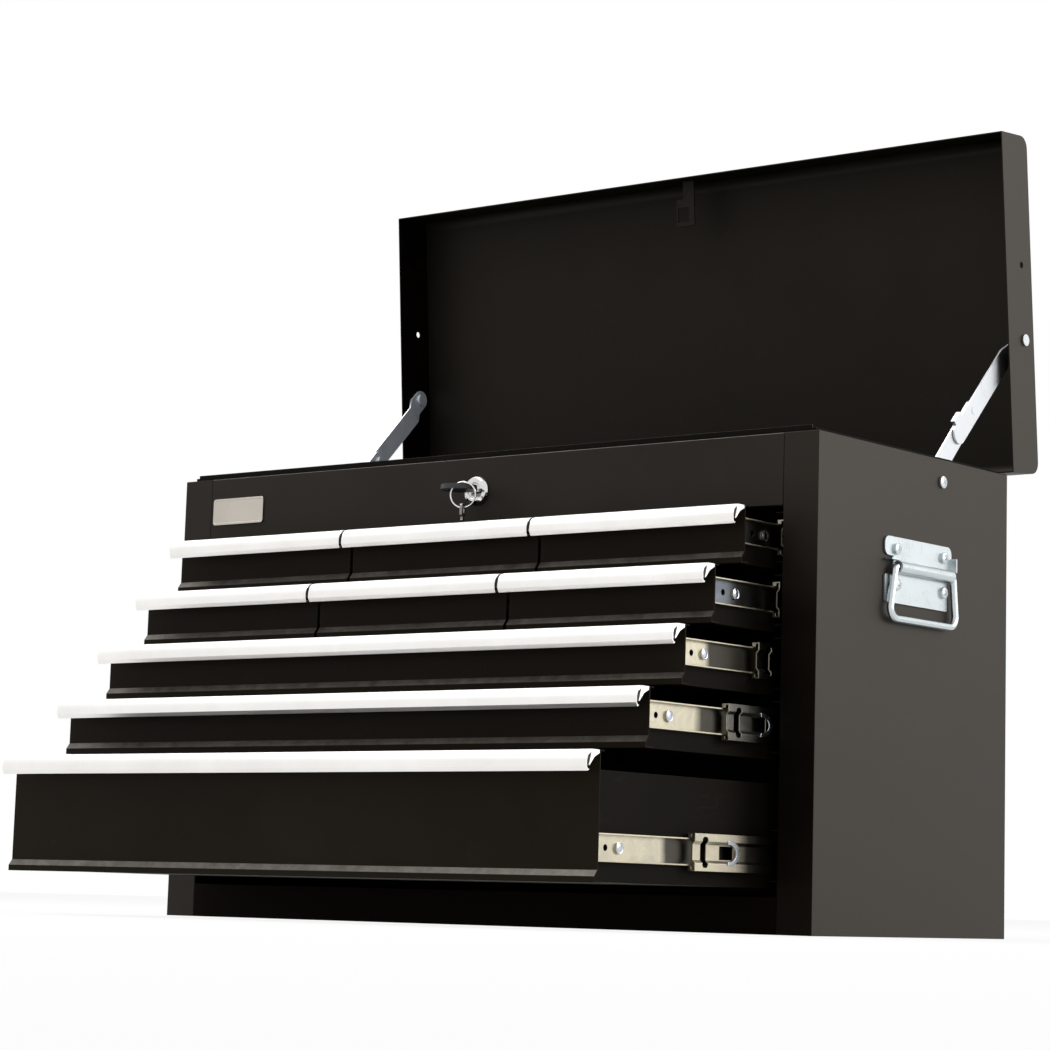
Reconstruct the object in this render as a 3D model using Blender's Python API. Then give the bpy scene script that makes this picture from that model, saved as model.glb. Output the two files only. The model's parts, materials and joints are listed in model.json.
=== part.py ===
# Nine-drawer tool chest with a lift-up lid, drawn open as it stands in use.
# Metres, +Z up, front towards -Y, origin at the centre of the footprint.

from math import asin, atan2, cos, hypot, pi, radians, sin, sqrt

import bmesh
import bpy
from mathutils import Matrix

MM = 0.001

# Overall size and sheet steel
WIDTH = 600 * MM
DEPTH = 254 * MM
HEIGHT = 340 * MM
SHEET = 1.0 * MM
GAP = 0.3 * MM
WELD = 0.5 * MM
OVERRUN = 2 * MM

# Cabinet front and its turned-in flanges
STILE_WIDTH = 28.5 * MM
FASCIA_HEIGHT = 50 * MM
RAIL_HEIGHT = 24.9 * MM
RAIL_FLANGE = 10 * MM
FASCIA_FLANGE = 12 * MM
BACK_FLANGE = 15 * MM
LINER_FLANGE = 18 * MM

# Till tray below the lid, with its raised lip
TILL_LIP = 2.8 * MM
TILL_FRONT_LIP = 5 * MM
TILL_SIDE_SPACE = 5.1 * MM
TILL_FRONT_SPACE = 4 * MM
TILL_BACK_SPACE = 3 * MM
FRONT_LIP_INSET = 3 * MM

# Drawers
LOW_GAP = 5.4 * MM
ROW_GAP = 3.8 * MM
FRONT_SIDE_GAP = 4.5 * MM
SMALL_SIDE_GAP = 6.5 * MM
SMALL_SPLIT = 2.6 * MM
FRONT_TOP_RETURN = 5 * MM
FLARE_HEIGHT = 8 * MM
FLARE_LIP = 4 * MM
FLARE_OUT = 3 * MM
BOX_BACK_SPACE = 26 * MM
SIDE_DROP = 12 * MM

# Which slot of the drawer stack each row starts on, counted up from the lowest, how many it fills, and
# whether it is split into three drawers
STACK_SLOTS = 6
ROW_SLOT = (5, 4, 3, 2, 0)
ROW_FILLS = (1, 1, 1, 1, 2)
ROW_SPLIT = (True, True, False, False, False)

# How far each row stands out of the cabinet, and how far its middle rails lag behind its fronts
TOP_ROW_OUT = 36.3 * MM
SECOND_ROW_OUT = 69.8 * MM
THIRD_ROW_OUT = 104.7 * MM
FOURTH_ROW_OUT = 142.5 * MM
LOW_ROW_OUT = 193.0 * MM
TOP_ROW_LAG = 44.9 * MM
SECOND_ROW_LAG = 73.6 * MM
THIRD_ROW_LAG = 85.1 * MM
FOURTH_ROW_LAG = 89.1 * MM
LOW_ROW_LAG = 104.2 * MM
ROW_OUT = (TOP_ROW_OUT, SECOND_ROW_OUT, THIRD_ROW_OUT, FOURTH_ROW_OUT, LOW_ROW_OUT)
ROW_LAG = (TOP_ROW_LAG, SECOND_ROW_LAG, THIRD_ROW_LAG, FOURTH_ROW_LAG, LOW_ROW_LAG)

# Telescopic slides: cabinet rail, middle rail and drawer rail
SLIDE_SPACE = 12.7 * MM
RAIL_SHEET = 1.0 * MM
CABINET_RAIL_SETBACK = 6 * MM
CABINET_RAIL_BACK_SPACE = 28 * MM
MIDDLE_RAIL_SHORTER = 20 * MM
DRAWER_RAIL_SHORTER = 5 * MM
RAIL_REACH = 2.5 * MM
MIDDLE_RAIL_BACK = 4.2 * MM
MIDDLE_BAND_STEP = 2 * MM
DRAWER_RAIL_SETBACK = 3 * MM
DRAWER_RAIL_LIP = 5.5 * MM
CAGE_THICK = 3 * MM
CAGE_LENGTH = 95 * MM
RAIL_SLOT_SETBACK = 8.5 * MM
RAIL_SLOT_WIDTH = 6.5 * MM
RAIL_WINDOW_SETBACK = 30 * MM
RAIL_WINDOW_LENGTH = 16 * MM
RAIL_HOLE_SETBACK = 18 * MM
RAIL_HOLE = 4.4 * MM
RAIL_RIVET_SETBACK = 31 * MM
RAIL_RIVET = 7.7 * MM
RAIL_RIVET_HEIGHT = 1.2 * MM

# Heights of the slides as shares of the pitch of the rows
SLIDE_SHARES = {
    "rise": 0.513,
    "cabinet rail": 0.81,
    "middle rail": 0.566,
    "middle band": 0.231,
    "drawer rail": 0.416,
    "slot": 0.462,
    "window": 0.203,
}

# Pull moulding along the top of every drawer front
PULL_HEIGHT = 14 * MM
PULL_REACH = 14 * MM
PULL_WALL = 0.9 * MM
PULL_TOP = 7.5 * MM
PULL_SEAT = 2.4 * MM

# Points of the pull moulding as shares of its reach and height
PULL_SHARES = {
    "shoulder": (0.74, 0.08),
    "brow": (0.92, 0.26),
    "belly": (1.0, 0.52),
    "shin": (0.99, 0.80),
    "foot": (0.88, 1.0),
    "curl": (0.76, 0.93),
    "hollow": (0.62, 0.13),
    "web": (0.80, 0.74),
    "waist": (0.40, 0.36),
}

# Lid, its hinge and how far it stands open
LID_HEIGHT = 37.5 * MM
LID_LIFT = 1.0 * MM
LID_OVERHANG = 3.9 * MM
LID_CORNER = 9 * MM
LID_OPEN = radians(85.33)
LID_HOLE = 5 * MM
LID_HOLE_ALONG = 158 * MM
LID_HOLE_RISE = 22.8 * MM
HINGE_BEHIND = 6.2 * MM
HINGE_DROP = 2.8 * MM
HINGE_PIN = 2.6 * MM
HINGE_BARREL = 7 * MM
HINGE_BORE_CLEARANCE = 0.3 * MM
HINGE_LEAF = 1.2 * MM
HINGE_LEAF_WIDTH = 15 * MM
HINGE_LEAF_SET = 3 * MM
HINGE_END_SPACE = 16 * MM
KNUCKLES = 13

# Lid stays, one folding pair of straps on each side
STAY_WIDTH = 15.6 * MM
STAY_STRAP = 1.5 * MM
STAY_RIVET = 5 * MM
STAY_RIVET_HEAD = 9 * MM
STAY_KNUCKLE_HEAD = 6 * MM
STAY_HEAD_HEIGHT = 1.6 * MM
STAY_LOWER = 83.4 * MM
STAY_KNUCKLE_RISE = 1.0 * MM
STAY_TAIL = 27.8 * MM
STAY_CABINET_Y = 33.5 * MM
STAY_CABINET_DROP = 16.5 * MM
STAY_LID_ALONG = 100.8 * MM
STAY_LID_RISE = 22.8 * MM
STAY_WALL_SPACE = 0.5 * MM
STAY_JOGGLE_START = 10.5 * MM
STAY_JOGGLE_LENGTH = 11.5 * MM
STAY_LUG_ALONG = 22 * MM
STAY_LUG_LENGTH = 11 * MM
STAY_LUG_THICK = 3.8 * MM

# Latch loop under the lid's front edge
LOOP_WIDTH = 17.6 * MM
LOOP_LENGTH = 22.5 * MM
LOOP_SHEET = 1.2 * MM
LOOP_DEPTH = 11 * MM
LOOP_SETBACK = 14.5 * MM
LOOP_ASIDE = 2 * MM
LOOP_NECK = 11 * MM
LOOP_FOOT = 10 * MM
LOOP_WINDOW_WIDTH = 10.7 * MM
LOOP_WINDOW_LENGTH = 12 * MM
LOOP_BAR = 3.4 * MM
LOOP_SIDE_BAR = 1.6 * MM

# Lock, key and ring
LOCK_DROP = 24.7 * MM
LOCK_BEZEL = 22 * MM
LOCK_BEZEL_HEIGHT = 3.8 * MM
LOCK_BARREL = 17 * MM
LOCK_LENGTH = 20 * MM
LOCK_NUT = 24 * MM
BEZEL_RIM_SHARE = 0.72
BEZEL_SHOULDER_SHARE = 0.93
BEZEL_ROUND_SHARE = 0.3
PLUG = 11 * MM
PLUG_TAIL = 2.5 * MM
CAM_WIDTH = 10 * MM
CAM_LENGTH = 24 * MM
CAM_THICK = 2 * MM
KEY_BLADE_WIDTH = 7 * MM
KEY_BLADE_THICK = 2 * MM
KEY_BLADE_SHOWS = 3.5 * MM
KEY_HEAD = 27 * MM
KEY_HEAD_THICK = 3.6 * MM
KEY_BRIDGE = 1.2 * MM
KEY_SLOT = 4.6 * MM
KEY_SLOT_SPAN = radians(64)
RING_DIAMETER = 18.8 * MM
RING_WIRE = 1.3 * MM
RING_HANG = radians(-36)
RING_TURN = radians(24)

# Carrying handles
HANDLE_DROP = 84.5 * MM
HANDLE_FRONT = -44 * MM
HANDLE_BACK = 45 * MM
HANDLE_SHEET = 1.4 * MM
HANDLE_TOP_RISE = 21.5 * MM
HANDLE_TOP_PLATE = 13.5 * MM
HANDLE_CORNER = 5 * MM
HANDLE_BOTTOM_DROP = 25 * MM
HANDLE_LOW_TOP_DROP = 5.5 * MM
BARREL_FRONT = -32.4 * MM
BARREL_BACK = 39.2 * MM
BARREL_CLEARANCE = 0.4 * MM
NECK_FRONT = -33 * MM
EAR_HEIGHT = 10 * MM
EAR_REACH = 5 * MM
EAR_RISE = 3.2 * MM
FRONT_EAR_OUT = 10 * MM
FRONT_EAR_ROOT = 2 * MM
BAIL_ROD = 5.4 * MM
BAIL_SIDE = 3.4 * MM
BAIL_DROP = 39 * MM
BAIL_CORNER = 8 * MM
BAIL_BEND = 3.2 * MM
BAIL_FRONT_LEAN = 5.4 * MM
BAIL_BACK_LEAN = 3.0 * MM
BAIL_GRIP = 12 * MM
SCREW_HEAD = 8.4 * MM
SCREW_HEAD_HEIGHT = 2.2 * MM
SCREW_INSET = 14 * MM
SCREW_TOP_DROP = 8.5 * MM
SCREW_LOW_DROP = 6.6 * MM

# Facets round the turned pieces
FACETS = 16
FINE_FACETS = 24
RIVET_FACETS = 12
HOLE_FACETS = 8
WIRE_FACETS = 8
RING_STEPS = 32
ARC_STEPS = 5
SMOOTH_ANGLE = radians(40)

# Places worked out from the sizes above
FRONT_Y = -DEPTH / 2
BACK_Y = DEPTH / 2
HALF = WIDTH / 2
OPENING = HALF - STILE_WIDTH
FASCIA_Z = HEIGHT - FASCIA_HEIGHT
FIRST_ROW_Z = RAIL_HEIGHT + LOW_GAP
ROW_PITCH = (FASCIA_Z - FIRST_ROW_Z) / STACK_SLOTS
BOX_DEPTH = DEPTH - BOX_BACK_SPACE
SLIDE_RISE = ROW_PITCH * SLIDE_SHARES["rise"]
CABINET_RAIL_HEIGHT = ROW_PITCH * SLIDE_SHARES["cabinet rail"]
CABINET_RAIL_LENGTH = DEPTH - CABINET_RAIL_SETBACK - CABINET_RAIL_BACK_SPACE
MIDDLE_RAIL_HEIGHT = ROW_PITCH * SLIDE_SHARES["middle rail"]
MIDDLE_RAIL_LENGTH = CABINET_RAIL_LENGTH - MIDDLE_RAIL_SHORTER
MIDDLE_BAND_HEIGHT = ROW_PITCH * SLIDE_SHARES["middle band"]
DRAWER_RAIL_HEIGHT = ROW_PITCH * SLIDE_SHARES["drawer rail"]
DRAWER_RAIL_LENGTH = CABINET_RAIL_LENGTH - DRAWER_RAIL_SHORTER
RAIL_SLOT_HEIGHT = ROW_PITCH * SLIDE_SHARES["slot"]
RAIL_WINDOW_HEIGHT = ROW_PITCH * SLIDE_SHARES["window"]
SMALL_FRONT = OPENING - SMALL_SIDE_GAP
DIVIDER_X = (SMALL_FRONT + SMALL_SPLIT / 2) / 3
TILL_FLOOR_Z = FASCIA_Z + SHEET + GAP
TILL_HALF = HALF - SHEET - TILL_SIDE_SPACE
TILL_FRONT_Y = FRONT_Y + SHEET + TILL_FRONT_SPACE
TILL_BACK_Y = BACK_Y - SHEET - TILL_BACK_SPACE
INNER_BACK_Y = BACK_Y - SHEET - GAP
LOCK_Z = HEIGHT - LOCK_DROP
HANDLE_Z = HEIGHT - HANDLE_DROP
HINGE_Y = BACK_Y + HINGE_BEHIND
HINGE_Z = HEIGHT - HINGE_DROP
LID_Z = HEIGHT + LID_LIFT
LID_FRONT_Y = FRONT_Y - LID_OVERHANG


def clear_scene():
    for obj in list(bpy.data.objects):
        bpy.data.objects.remove(obj, do_unlink=True)


def material(name, colour, roughness, metallic):
    """A plain Principled material, named for the piece's finish."""
    made = bpy.data.materials.new(name)
    made.use_nodes = True
    shader = made.node_tree.nodes["Principled BSDF"]
    shader.inputs["Base Color"].default_value = (*colour, 1)
    shader.inputs["Roughness"].default_value = roughness
    shader.inputs["Metallic"].default_value = metallic
    made.diffuse_color = (*colour, 1)
    return made


# Outlines in a plane


def side_of(start, end, distance):
    """The step to the left of a run from start to end."""
    run = (end[0] - start[0], end[1] - start[1])
    length = hypot(*run)
    return (-run[1] / length * distance, run[0] / length * distance)


def offset_path(points, distance):
    """A bent path moved sideways to its left, with mitred corners."""
    steps = [side_of(a, b, distance) for a, b in zip(points, points[1:])]
    moved = [(points[0][0] + steps[0][0], points[0][1] + steps[0][1])]
    for point, before, after in zip(points[1:-1], steps, steps[1:]):
        total = (before[0] + after[0], before[1] + after[1])
        scale = 2 * distance**2 / (total[0] ** 2 + total[1] ** 2)
        moved.append((point[0] + total[0] * scale, point[1] + total[1] * scale))
    moved.append((points[-1][0] + steps[-1][0], points[-1][1] + steps[-1][1]))
    return moved


def bent_sheet(points, thickness):
    """The section of a sheet whose outer face follows the points and whose thickness lies to the left."""
    return points + offset_path(points, thickness)[::-1]


def arc(centre, radius, start, end, steps=ARC_STEPS):
    """Points round part of a circle, both ends included."""
    turn = (end - start) / steps
    angles = [start + turn * step for step in range(steps + 1)]
    return [(centre[0] + radius * cos(a), centre[1] + radius * sin(a)) for a in angles]


def rounded_box(low, high, radii):
    """A rectangle with a radius at each corner: low-low, high-low, high-high, low-high."""
    corners = (
        (low[0], low[1], 1, 1, pi),
        (high[0], low[1], -1, 1, 3 * pi / 2),
        (high[0], high[1], -1, -1, 0),
        (low[0], high[1], 1, -1, pi / 2),
    )
    outline = []
    for (x, y, right, up, start), radius in zip(corners, radii):
        if radius:
            centre = (x + right * radius, y + up * radius)
            outline += arc(centre, radius, start, start + pi / 2)
        else:
            outline.append((x, y))
    return outline


def strip(start, end, width):
    """A straight bar of one width between two points."""
    left = side_of(start, end, width / 2)
    return [
        (start[0] - left[0], start[1] - left[1]),
        (end[0] - left[0], end[1] - left[1]),
        (end[0] + left[0], end[1] + left[1]),
        (start[0] + left[0], start[1] + left[1]),
    ]


def slot_outline(start, end, radius):
    """A strap along the first axis with a round end about each of its two pivots."""
    far = arc((end, 0), radius, -pi / 2, pi / 2, 2 * ARC_STEPS)
    near = arc((start, 0), radius, pi / 2, 3 * pi / 2, 2 * ARC_STEPS)
    return far + near


# Solids as meshes

AXIS_PLACE = {
    "X": lambda u, v, w: (w, u, v),
    "Y": lambda u, v, w: (u, w, v),
    "Z": lambda u, v, w: (u, v, w),
}


def prism(outline, axis, start, end):
    """An outline drawn in the other two axes, in their order, and extruded along this one."""
    place = AXIS_PLACE[axis]
    mesh = bmesh.new()
    face = mesh.faces.new([mesh.verts.new(place(u, v, start)) for u, v in outline])
    grown = bmesh.ops.extrude_face_region(mesh, geom=[face])
    moved = [item for item in grown["geom"] if isinstance(item, bmesh.types.BMVert)]
    bmesh.ops.translate(mesh, verts=moved, vec=place(0, 0, end - start))
    bmesh.ops.recalc_face_normals(mesh, faces=mesh.faces)
    return mesh


def box(low, high):
    outline = [(low[0], low[1]), (high[0], low[1]), (high[0], high[1]), (low[0], high[1])]
    return prism(outline, "Z", low[2], high[2])


def rod(axis, centre, radius, start, end, facets=FACETS):
    """A round bar along an axis; its centre is given in the other two axes."""
    ring = arc(centre, radius, 0, 2 * pi, facets)[:-1]
    return prism(ring, axis, start, end)


def tray(low, high, thickness):
    """An open-topped pan: a box whose top is inset by the wall and pushed down to the floor."""
    mesh = box(low, high)
    top = max(mesh.faces, key=lambda face: face.calc_center_median().z)
    bmesh.ops.inset_region(mesh, faces=[top], thickness=thickness)
    grown = bmesh.ops.extrude_face_region(mesh, geom=[top])
    moved = [item for item in grown["geom"] if isinstance(item, bmesh.types.BMVert)]
    bmesh.ops.translate(mesh, verts=moved, vec=(0, 0, low[2] + thickness - high[2]))
    bmesh.ops.delete(mesh, geom=[top], context="FACES_ONLY")
    bmesh.ops.recalc_face_normals(mesh, faces=mesh.faces)
    return mesh


def turned(profile, facets=FINE_FACETS):
    """A profile of (radius, place along Y) spun round the Y axis."""
    mesh = bmesh.new()
    points = [mesh.verts.new((radius, y, 0)) for radius, y in profile]
    edges = [mesh.edges.new(pair) for pair in zip(points, points[1:] + points[:1])]
    bmesh.ops.spin(
        mesh,
        geom=points + edges,
        axis=(0, 1, 0),
        cent=(0, 0, 0),
        angle=2 * pi,
        steps=facets,
        use_merge=True,
    )
    bmesh.ops.recalc_face_normals(mesh, faces=mesh.faces)
    return mesh


def shifted(mesh, place):
    bmesh.ops.translate(mesh, verts=mesh.verts, vec=place)
    return mesh


def mirrored(mesh):
    """The mesh on the other side of the YZ plane."""
    bmesh.ops.scale(mesh, verts=mesh.verts, vec=(-1, 1, 1))
    bmesh.ops.reverse_faces(mesh, faces=mesh.faces)
    return mesh


# Objects


def placed(obj, frame):
    """Hangs an object on the empty that carries it, with its mesh in that empty's axes."""
    if frame is not None:
        obj.parent = frame
    return obj


def axis_frame(name, place, turn=0, parent=None):
    """An empty on a moving piece's axis, turned about X."""
    frame = bpy.data.objects.new(name, None)
    bpy.context.collection.objects.link(frame)
    frame.location = place
    frame.rotation_euler = (turn, 0, 0)
    frame.parent = parent
    return frame


def mesh_data(name, mesh):
    data = bpy.data.meshes.new(name)
    mesh.to_mesh(data)
    mesh.free()
    return data


def helper(name, mesh, frame, group):
    """A cutter or a welded-on shape: it isn't rendered, and works through its Boolean."""
    obj = bpy.data.objects.new(name, mesh_data(name, mesh))
    group.objects.link(obj)
    obj.hide_render = True
    obj.display_type = "WIRE"
    return placed(obj, frame)


def boolean(obj, operation, meshes):
    """One Boolean with every mesh in a collection of helpers."""
    name = f"{obj.name} {operation.lower()}"
    group = bpy.data.collections.new(name)
    bpy.context.scene.collection.children.link(group)
    for number, mesh in enumerate(meshes):
        helper(f"{name} {number}", mesh, obj.parent, group)
    modifier = obj.modifiers.new(name, "BOOLEAN")
    modifier.operation = operation
    modifier.solver = "EXACT"
    modifier.operand_type = "COLLECTION"
    modifier.collection = group


def solid(name, finish, base, welded=(), cuts=(), kept=(), frame=None):
    """One piece: its base mesh, the shapes welded on, the part kept of it, and what is cut away."""
    obj = bpy.data.objects.new(name, mesh_data(name, base))
    bpy.context.collection.objects.link(obj)
    obj.data.materials.append(finish)
    placed(obj, frame)
    if welded:
        boolean(obj, "UNION", welded)
    if kept:
        boolean(obj, "INTERSECT", kept)
    if cuts:
        boolean(obj, "DIFFERENCE", cuts)
    obj.data.shade_smooth()
    obj.data.set_sharp_from_angle(angle=SMOOTH_ANGLE)
    return obj


# Cabinet shell


def stay_cabinet_pivot():
    return (STAY_CABINET_Y, HEIGHT - STAY_CABINET_DROP)


def side_panel(name, finish, side):
    """Side sheet with its front stile, its back flange and the narrow flange along its top."""
    plan = [
        (OPENING, FRONT_Y),
        (HALF, FRONT_Y),
        (HALF, BACK_Y),
        (HALF - BACK_FLANGE, BACK_Y),
    ]
    shell = prism(bent_sheet(plan, SHEET), "Z", 0, HEIGHT)
    top = box(
        (TILL_HALF + GAP, FRONT_Y + SHEET - WELD, HEIGHT - SHEET),
        (HALF - SHEET + WELD, BACK_Y - SHEET + WELD, HEIGHT),
    )
    hole = rod("X", stay_cabinet_pivot(), STAY_RIVET / 2 + GAP, TILL_HALF, HALF + OVERRUN)
    pieces = (shell, top, hole)
    if side < 0:
        pieces = [mirrored(piece) for piece in pieces]
    shell, top, hole = pieces
    return solid(name, finish, shell, welded=[top], cuts=[hole])


def bottom_panel(finish):
    """Floor sheet with the front rail folded up from it and a flange up the back."""
    section = [
        (FRONT_Y + RAIL_FLANGE, RAIL_HEIGHT),
        (FRONT_Y, RAIL_HEIGHT),
        (FRONT_Y, 0),
        (FRONT_Y + RAIL_FLANGE, 0),
    ]
    inside = OPENING - GAP
    rail = prism(bent_sheet(section, SHEET), "X", -inside, inside)
    floor_half = HALF - SHEET - GAP
    floor = box(
        (-floor_half, FRONT_Y + SHEET + GAP, 0),
        (floor_half, INNER_BACK_Y - SHEET - GAP, SHEET),
    )
    return solid("bottom_panel", finish, rail, welded=[floor])


def fascia(finish):
    """Lock panel above the drawers, folded back along its top and bottom edges."""
    section = [
        (TILL_FRONT_Y - GAP, HEIGHT),
        (FRONT_Y, HEIGHT),
        (FRONT_Y, FASCIA_Z),
        (FRONT_Y + FASCIA_FLANGE, FASCIA_Z),
    ]
    inside = OPENING - GAP
    panel = prism(bent_sheet(section, SHEET), "X", -inside, inside)
    hole = rod("Y", (0, LOCK_Z), LOCK_BARREL / 2 + GAP, FRONT_Y - OVERRUN, TILL_FRONT_Y)
    return solid("fascia", finish, panel, cuts=[hole])


def till_tray(finish):
    """Top tray whose walls stand a little above the cabinet and locate the lid."""
    low = (-TILL_HALF, TILL_FRONT_Y, TILL_FLOOR_Z)
    high = (TILL_HALF, TILL_BACK_Y, HEIGHT + TILL_LIP)
    pan = tray(low, high, SHEET)
    lip_half = TILL_HALF - FRONT_LIP_INSET
    lip = box(
        (-lip_half, TILL_FRONT_Y, HEIGHT - WELD),
        (lip_half, TILL_FRONT_Y + SHEET, HEIGHT + TILL_FRONT_LIP),
    )
    reach = TILL_HALF + OVERRUN
    rivet_holes = rod("X", stay_cabinet_pivot(), STAY_RIVET / 2 + GAP, -reach, reach)
    lock_hole = rod(
        "Y",
        (0, LOCK_Z),
        LOCK_BARREL / 2 + GAP,
        TILL_FRONT_Y - OVERRUN,
        TILL_FRONT_Y + SHEET + OVERRUN,
    )
    return solid("till_tray", finish, pan, welded=[lip], cuts=[rivet_holes, lock_hole])


# Hinge, shared by the back panel and the lid


def knuckle_span(number):
    """Where one knuckle of the hinge starts and ends, counted from the left."""
    left = -HALF + HINGE_END_SPACE
    pitch = (WIDTH - 2 * HINGE_END_SPACE) / KNUCKLES
    return left + pitch * number + GAP / 2, left + pitch * (number + 1) - GAP / 2


def knuckles(first, leaf_edge, barrel_edge):
    """Every second knuckle, each with the web that runs from its leaf."""
    made = []
    for number in range(first, KNUCKLES, 2):
        start, end = knuckle_span(number)
        made.append(rod("X", (HINGE_Y, HINGE_Z), HINGE_BARREL / 2, start, end, FACETS))
        made.append(prism(strip(leaf_edge, barrel_edge, HINGE_LEAF), "X", start, end))
    return made


def hinge_bore():
    radius = HINGE_PIN / 2 + HINGE_BORE_CLEARANCE
    return rod("X", (HINGE_Y, HINGE_Z), radius, -HALF, HALF, FACETS)


def hinge_leaf(low_y, low_z, high_z):
    left, _ = knuckle_span(0)
    _, right = knuckle_span(KNUCKLES - 1)
    return box((left, low_y, low_z), (right, low_y + HINGE_LEAF + WELD, high_z))


def back_panel(finish):
    """Back sheet behind the side flanges, with the lower hinge leaf welded along its top."""
    half = HALF - SHEET - GAP
    sheet = box((-half, INNER_BACK_Y - SHEET, SHEET + GAP), (half, INNER_BACK_Y, HEIGHT - SHEET - GAP))
    leaf_top = HINGE_Z - HINGE_LEAF_SET
    leaf = hinge_leaf(INNER_BACK_Y - WELD, leaf_top - HINGE_LEAF_WIDTH, leaf_top)
    edge = (INNER_BACK_Y + HINGE_LEAF / 2, leaf_top - HINGE_LEAF)
    barrel = (HINGE_Y, HINGE_Z - HINGE_BARREL / 2 + HINGE_LEAF / 2)
    return solid(
        "back_panel",
        finish,
        sheet,
        welded=[leaf] + knuckles(0, edge, barrel),
        cuts=[hinge_bore()],
    )


def hinge_pin(finish):
    start, _ = knuckle_span(0)
    _, end = knuckle_span(KNUCKLES - 1)
    pin = rod("X", (HINGE_Y, HINGE_Z), HINGE_PIN / 2, start, end, FACETS)
    return solid("hinge_pin", finish, pin)


# Slides


def rail_section(web, lip, height):
    """A channel section: its web stands at one reach and its lips run to the other."""
    half = height / 2
    outline = [(lip, half), (web, half), (web, -half), (lip, -half)]
    return outline if lip < web else outline[::-1]


def cabinet_rail(face, side, height_at):
    """Fixed rail on a liner or divider, open towards the drawer; side is the way out from the drawer."""
    web = SLIDE_SPACE + WELD
    section = bent_sheet(rail_section(web, RAIL_REACH, CABINET_RAIL_HEIGHT), -RAIL_SHEET)
    start = FRONT_Y + CABINET_RAIL_SETBACK
    mesh = prism(section, "Y", start, start + CABINET_RAIL_LENGTH)
    if side < 0:
        mesh = mirrored(mesh)
    return shifted(mesh, (face - side * SLIDE_SPACE, 0, height_at))


def row_bottom(row):
    return FIRST_ROW_Z + ROW_SLOT[row] * ROW_PITCH


def rows(split=None):
    return [row for row in range(len(ROW_SLOT)) if split is None or ROW_SPLIT[row] == split]


def liner(name, finish, side):
    """Upright sheet behind a stile that carries one fixed rail for every row."""
    back = INNER_BACK_Y - SHEET - GAP
    plan = [
        (OPENING + LINER_FLANGE, FRONT_Y + SHEET + GAP),
        (OPENING, FRONT_Y + SHEET + GAP),
        (OPENING, back),
        (OPENING + LINER_FLANGE, back),
    ]
    low = SHEET + GAP
    mesh = prism(bent_sheet(plan, -SHEET), "Z", low, FASCIA_Z - GAP)
    rails = [cabinet_rail(OPENING, 1, row_bottom(row) + SLIDE_RISE) for row in rows()]
    if side < 0:
        mesh = mirrored(mesh)
        rails = [mirrored(rail) for rail in rails]
    return solid(name, finish, mesh, welded=rails)


def divider(name, finish, side):
    """Partition between the small drawers, hung from the till tray, with fixed rails on both faces."""
    half = SHEET / 2
    low = row_bottom(rows(split=True)[-1]) + LOW_GAP
    front = FRONT_Y + SHEET + GAP
    back = INNER_BACK_Y - SHEET - GAP
    behind = FRONT_Y + FASCIA_FLANGE + GAP
    top = TILL_FLOOR_Z - GAP
    web = box((DIVIDER_X - half, front, low), (DIVIDER_X + half, back, FASCIA_Z - GAP))
    hanger = box(
        (DIVIDER_X - half, behind, FASCIA_Z - GAP - WELD),
        (DIVIDER_X + half, back, top),
    )
    wing = BACK_FLANGE / 2
    top_flange = box((DIVIDER_X - wing, behind, top - SHEET), (DIVIDER_X + wing, back, top))
    back_flange = box((DIVIDER_X, back - SHEET, low), (DIVIDER_X + wing, back, top))
    rails = []
    for row in rows(split=True):
        height_at = row_bottom(row) + SLIDE_RISE
        rails.append(cabinet_rail(DIVIDER_X - half, 1, height_at))
        rails.append(cabinet_rail(DIVIDER_X + half, -1, height_at))
    welded = [hanger, top_flange, back_flange] + rails
    if side < 0:
        web = mirrored(web)
        welded = [mirrored(piece) for piece in welded]
    return solid(name, finish, web, welded=welded)


def middle_rail_mesh():
    """Sliding middle rail with its stepped web, front slot, lock window and ball cages."""
    half = MIDDLE_RAIL_HEIGHT / 2
    web = SLIDE_SPACE - MIDDLE_RAIL_BACK
    band = MIDDLE_BAND_HEIGHT / 2
    step = MIDDLE_BAND_STEP
    section = [
        (RAIL_REACH, half),
        (web, half),
        (web, band + step),
        (web - step, band),
        (web - step, -band),
        (web, -band - step),
        (web, -half),
        (RAIL_REACH, -half),
    ]
    mesh = prism(bent_sheet(section, -RAIL_SHEET), "Y", 0, MIDDLE_RAIL_LENGTH)
    inner_gap = half - RAIL_SHEET - DRAWER_RAIL_HEIGHT / 2 - GAP
    outer_gap = CABINET_RAIL_HEIGHT / 2 - RAIL_SHEET - half - GAP
    cages = []
    for up in (1, -1):
        for start, low, high in (
            (0, half - RAIL_SHEET - inner_gap, half - RAIL_SHEET + WELD),
            (MIDDLE_RAIL_LENGTH - CAGE_LENGTH, half - WELD, half + outer_gap),
        ):
            bottom, top = sorted((up * low, up * high))
            cages.append(
                box(
                    (RAIL_REACH, start, bottom),
                    (RAIL_REACH + CAGE_THICK, start + CAGE_LENGTH, top),
                )
            )
    slot = rounded_box(
        (RAIL_SLOT_SETBACK, -RAIL_SLOT_HEIGHT / 2),
        (RAIL_SLOT_SETBACK + RAIL_SLOT_WIDTH, RAIL_SLOT_HEIGHT / 2),
        (RAIL_SLOT_WIDTH / 3,) * 4,
    )
    window = rounded_box(
        (RAIL_WINDOW_SETBACK, -RAIL_WINDOW_HEIGHT / 2),
        (RAIL_WINDOW_SETBACK + RAIL_WINDOW_LENGTH, RAIL_WINDOW_HEIGHT / 2),
        (0, 0, 0, 0),
    )
    reach = web + OVERRUN
    cuts = [prism(outline, "X", RAIL_REACH, reach) for outline in (slot, window)]
    return mesh, cages, cuts


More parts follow.
